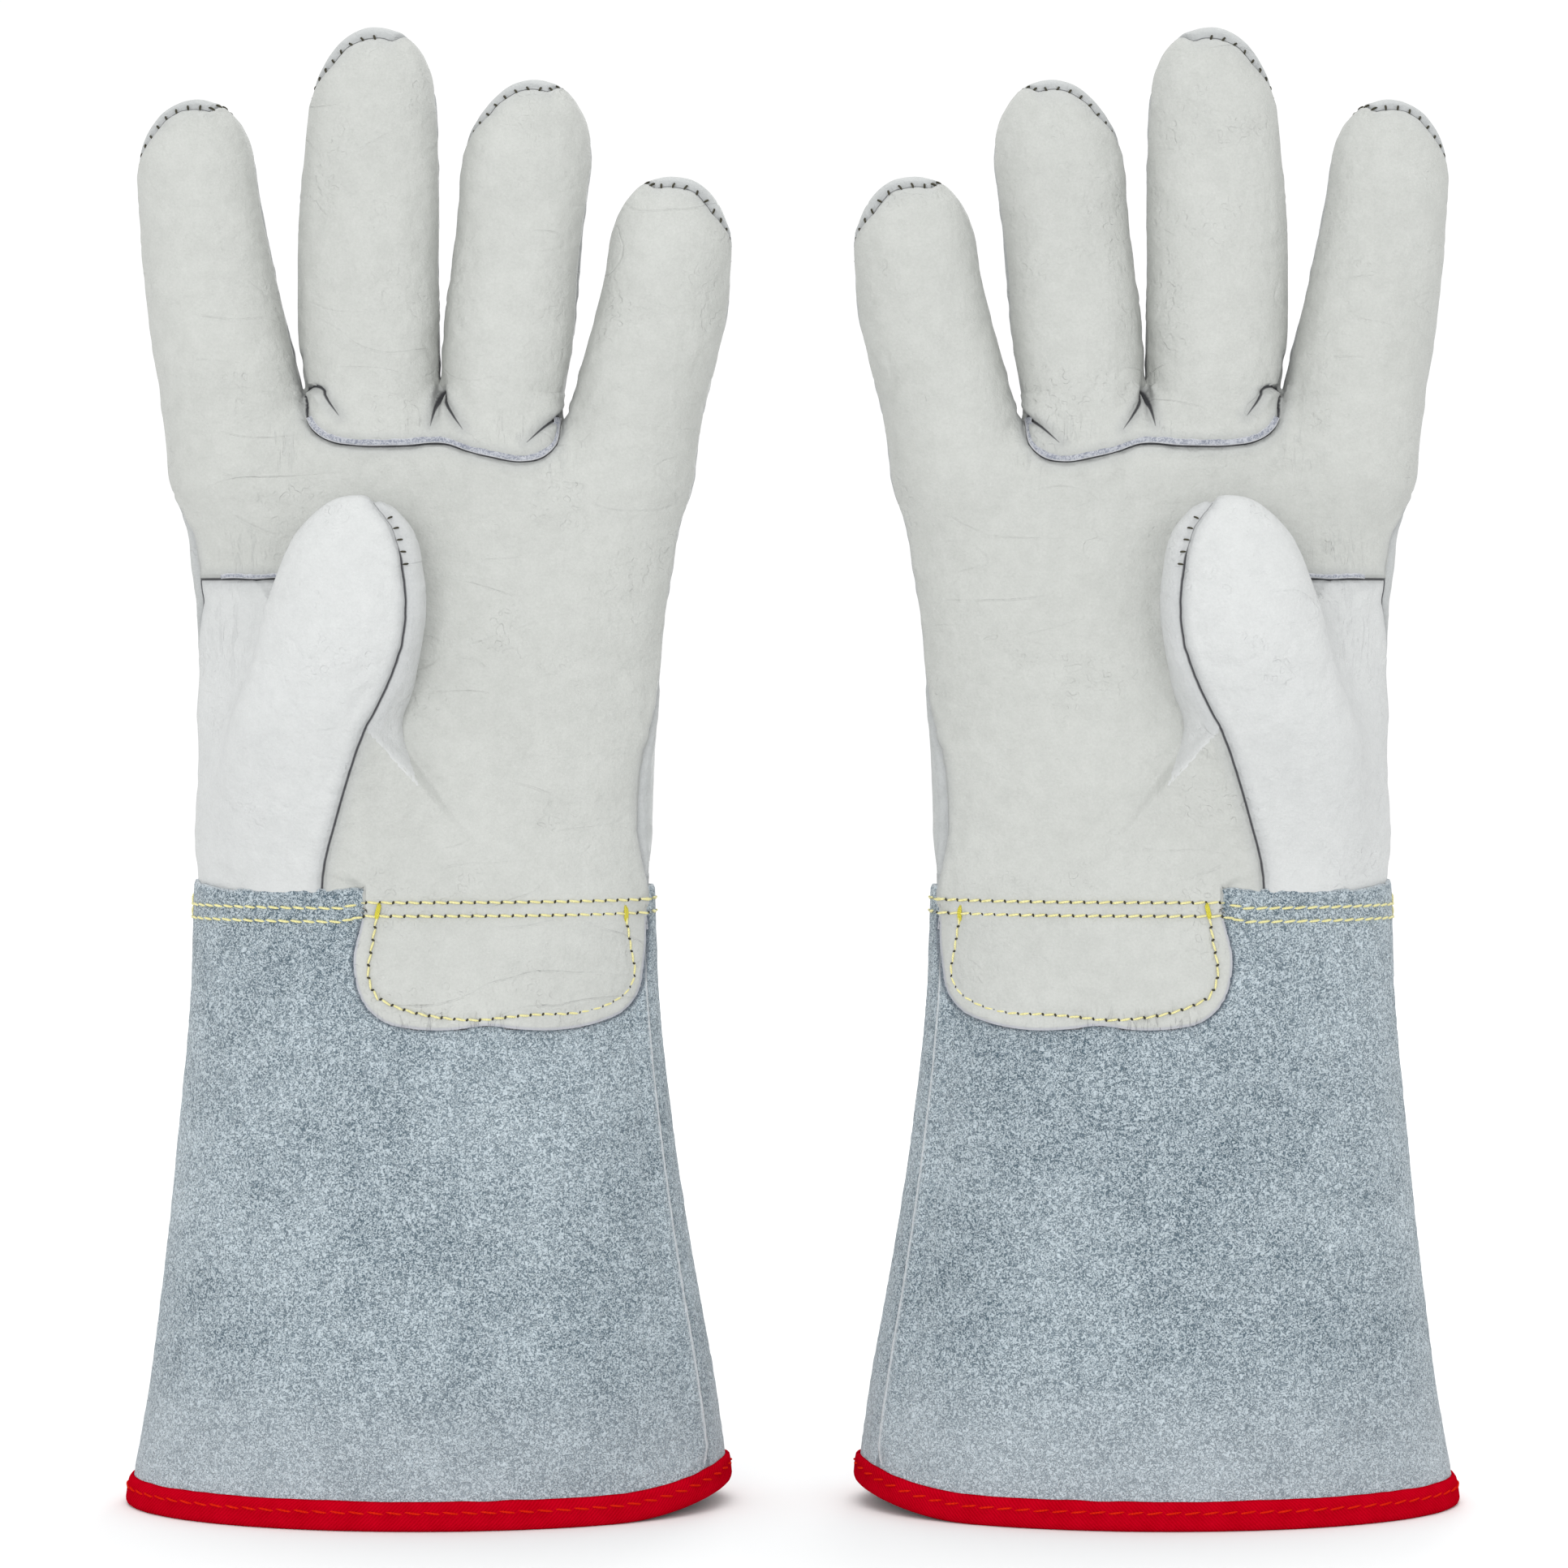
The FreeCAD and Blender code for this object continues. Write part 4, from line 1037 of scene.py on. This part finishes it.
sewn, holes = [], []
for level in (165.3, 161.7):
    line = row_round(level, over_panels)
    line[:, 2] -= 1.6 * (1 - ramp(-122, -113, line[:, 0])) * (line[:, 1] < 0)    # the rows dip beside the tab
    sewn.append(row(line, 3.6, 3.4, 0.33, 0.3))
    holes.append(needle_holes(line, 3.6))
x, z = TAB_ROW.T
line = np.column_stack([x, cuff_front_y(x, z, LAP + 0.1, LAP + 0.1), z])
sewn.append(row(line, 3.4, 3.1, 0.3, 0.22))
holes.append(needle_holes(line, 3.4))
ride(piece("cuff_thread", *joined(sewn), yellow, "yellow_thread"), "cuff", "cuff_stitching")
ride(piece("cuff_thread_holes", *joined(holes), shadow, "yellow_thread"), "cuff")
tacks = []
for x, drop, lean in ((-110.5, 0, 0.25), (-45.1, 1.4, 0.0)):
    for dx, level, tall in ((-0.3, 163.2, 4.4), (0, 162.9, 5.0), (0.3, 162.7, 4.4)):
        z = level - drop
        c = np.array([[x + dx, cuff_front_y(x + dx, np.array([z]), LAP, LAP + 0.35)[0], z]])
        tacks.append(threads(warp(c), np.array([[lean, 0, 1.0]]), cuff_out(c), tall, 0.3, 0.25))
ride(piece("tab_bartacks", *joined(tacks), bright, "yellow_thread"), "cuff")
hem = row(row_round(5.0, lambda angle, level: 1.25), 5.0, 4.5, 0.3, 0.26)
ride(piece("hem_thread", *hem, red, "red_thread"), "cuff", "binding_stitching")


def last_inside(inside, inner, outer):
    """Closes in on a form's surface from a place inside it and one outside, and returns the inner one."""
    for _ in range(26):
        m = (inner + outer) / 2
        hit = inside(m)
        inner, outer = np.where(hit, m, inner), np.where(hit, outer, m)
    return inner


def front_y(x, z, field):
    """The front surface's y at points of the XZ plane."""
    return last_inside(lambda y: field(x, y, z) < 0, np.full(len(x), -2.0), np.full(len(x), -60.0))


def strip(points, width, thick, field, lift):
    """A raw-edged strip of leather lying along a line, on its left hand."""
    way = unit(np.gradient(points, axis=0))
    side = np.column_stack([-way[:, 1], way[:, 0]])
    run = np.arange(len(points))
    w = np.linspace(0, 1, 6)
    ragged = width * (1 + 0.18 * noise(np.column_stack([run * 1.0, run * 0, run * 0]), 1.7, 41))
    xz = points[:, None] + side[:, None] * (w * ragged[:, None])[..., None]
    y = front_y(xz[..., 0].ravel(), xz[..., 1].ravel(), field).reshape(xz.shape[:2])
    round_off = 0.35 * (2 * w - 1) ** 4
    outer = np.stack([xz[..., 0], y - lift + round_off, xz[..., 1]], -1)
    inner = outer + np.array([0, thick, 0])
    rim = np.broadcast_to(np.minimum(w, 1 - w) * width, outer.shape[:2])
    return *slab(grid_warp(outer), grid_warp(inner)), {"rim": np.tile(rim.ravel(), 2)}


welt_line = curve(BASE_SEAM[BASE_SEAM[:, 1] < 296.2], 110)
pv, pf, marks = strip(welt_line, 1.85, 1.6, hand_field, 0.75)
ride(piece("base_welt_edge", pv, pf, raw_edge, "split_edge", None, marks), "hand", "base_welt")
count = 30
wave = 0.15 * np.sin(np.linspace(0, 9, count))
crease_line = np.column_stack([np.linspace(-154.4, -136.0, count), CREASE + 0.1 + wave])
pv, pf, marks = strip(crease_line, 1.3, 1.2, hand_field, 0.35)
ride(piece("crease_welt_edge", pv, pf, raw_edge, "split_edge", None, marks), "hand")


def dashes(name, points, pitch, length, radius, field, body):
    """Stitches that cross a seam line aslant, hugging the leather, dark as painted shade of their needle
    holes.
    """
    c, way = spaced(points, pitch)
    c = solve(field, c, 2)
    out, way = slope_of(field, c), unit(way)
    over = np.cross(out, way) + way * 0.55 * noise(c, 2.0, 51)[:, None]
    ride(piece(name, *threads(warp(c), over, out, length, radius, 0.3), shadow, "yellow_thread"), body)


# Needle holes just inside the fingertip seams: the finger, and the angles in degrees where its row runs
count = 60
for name, start, end in (("index", 178, 62), ("middle", 172, 80), ("ring", 165, 62), ("little", -12, 118)):
    z0 = TOP[name] + 2.0
    cx = along(FINGERS[name], np.array([z0]))[0][0]
    t = np.radians(np.linspace(start, end, count))

    def on_seam(radius, proud):
        """Points at radii from the fingertip's centre, in front of where the side seam lies."""
        q = np.column_stack([cx + radius * np.cos(t), 0 * t, z0 + radius * np.sin(t)])
        q[:, 1] = -side_seam(q) + proud
        return q

    radius = last_inside(lambda m: hand_field(*on_seam(m, -0.7).T) < 0, np.zeros(count), np.full(count, 45.0))
    dashes(f"{name}_tip_stitches", on_seam(radius, 0.2), 3.2, 2.3, 0.3, hand_field, f"{name}_upper")
tip = WING_SEAM[(WING_SEAM[:, 1] > 252) & (WING_SEAM[:, 1] < 271.5)]
tip = curve(tip, 50) + np.array([0.4, 0])
y = front_y(tip[:, 0], tip[:, 1], thumb_field)
dashes("thumb_tip_stitches", np.column_stack([tip[:, 0], y, tip[:, 1]]), 3.3, 1.9, 0.27, thumb_field, "thumb")

# ------------ floor, light and camera
floor = bpy.data.meshes.new("floor")
floor.from_pydata([(-4, -4, 0), (4, -4, 0), (4, 4, 0), (-4, 4, 0)], [], [(0, 1, 2, 3)])
floor.materials.append(material("pale_floor", (0.74, 0.74, 0.74), 0.95)[0])
place("floor", floor)

world = bpy.data.worlds.new("studio")
bpy.context.scene.world = world
world.use_nodes = True
background = world.node_tree.nodes["Background"]
background.inputs["Color"].default_value = (1, 1, 1, 1)
background.inputs["Strength"].default_value = 1.03


def aim(obj, at, target):
    obj.location = at
    obj.rotation_euler = (Vector(target) - Vector(at)).to_track_quat("-Z", "Y").to_euler()


for name, at, size, power in (("key", (-0.5, -2.0, 0.42), 0.9, 13), ("fill", (1.0, -2.0, 0.38), 1.2, 6),
                              ("rear", (0.4, 2.0, 0.42), 0.9, 13)):
    lamp = bpy.data.lights.new(name, "AREA")
    lamp.shape, lamp.size, lamp.energy = "DISK", size, power
    aim(place(name, lamp), at, (0, 0, 0.22))
sky = bpy.data.lights.new("overhead", "SUN")
sky.energy, sky.angle = 1.45, 1.1
place("overhead", sky).rotation_euler = (math.radians(-7), 0, 0)

camera = bpy.data.cameras.new("camera")
camera.lens, camera.sensor_width = 99.7, 36
eye = place("camera", camera)
ELEVATION, DISTANCE = math.radians(1.5), 1.165
AIM = Vector((-0.0024, -0.02, 0.1967))
aim(eye, AIM + DISTANCE * Vector((0, -math.cos(ELEVATION), math.sin(ELEVATION))), AIM)
bpy.context.scene.camera = eye
bpy.context.scene.view_settings.view_transform = "Standard"
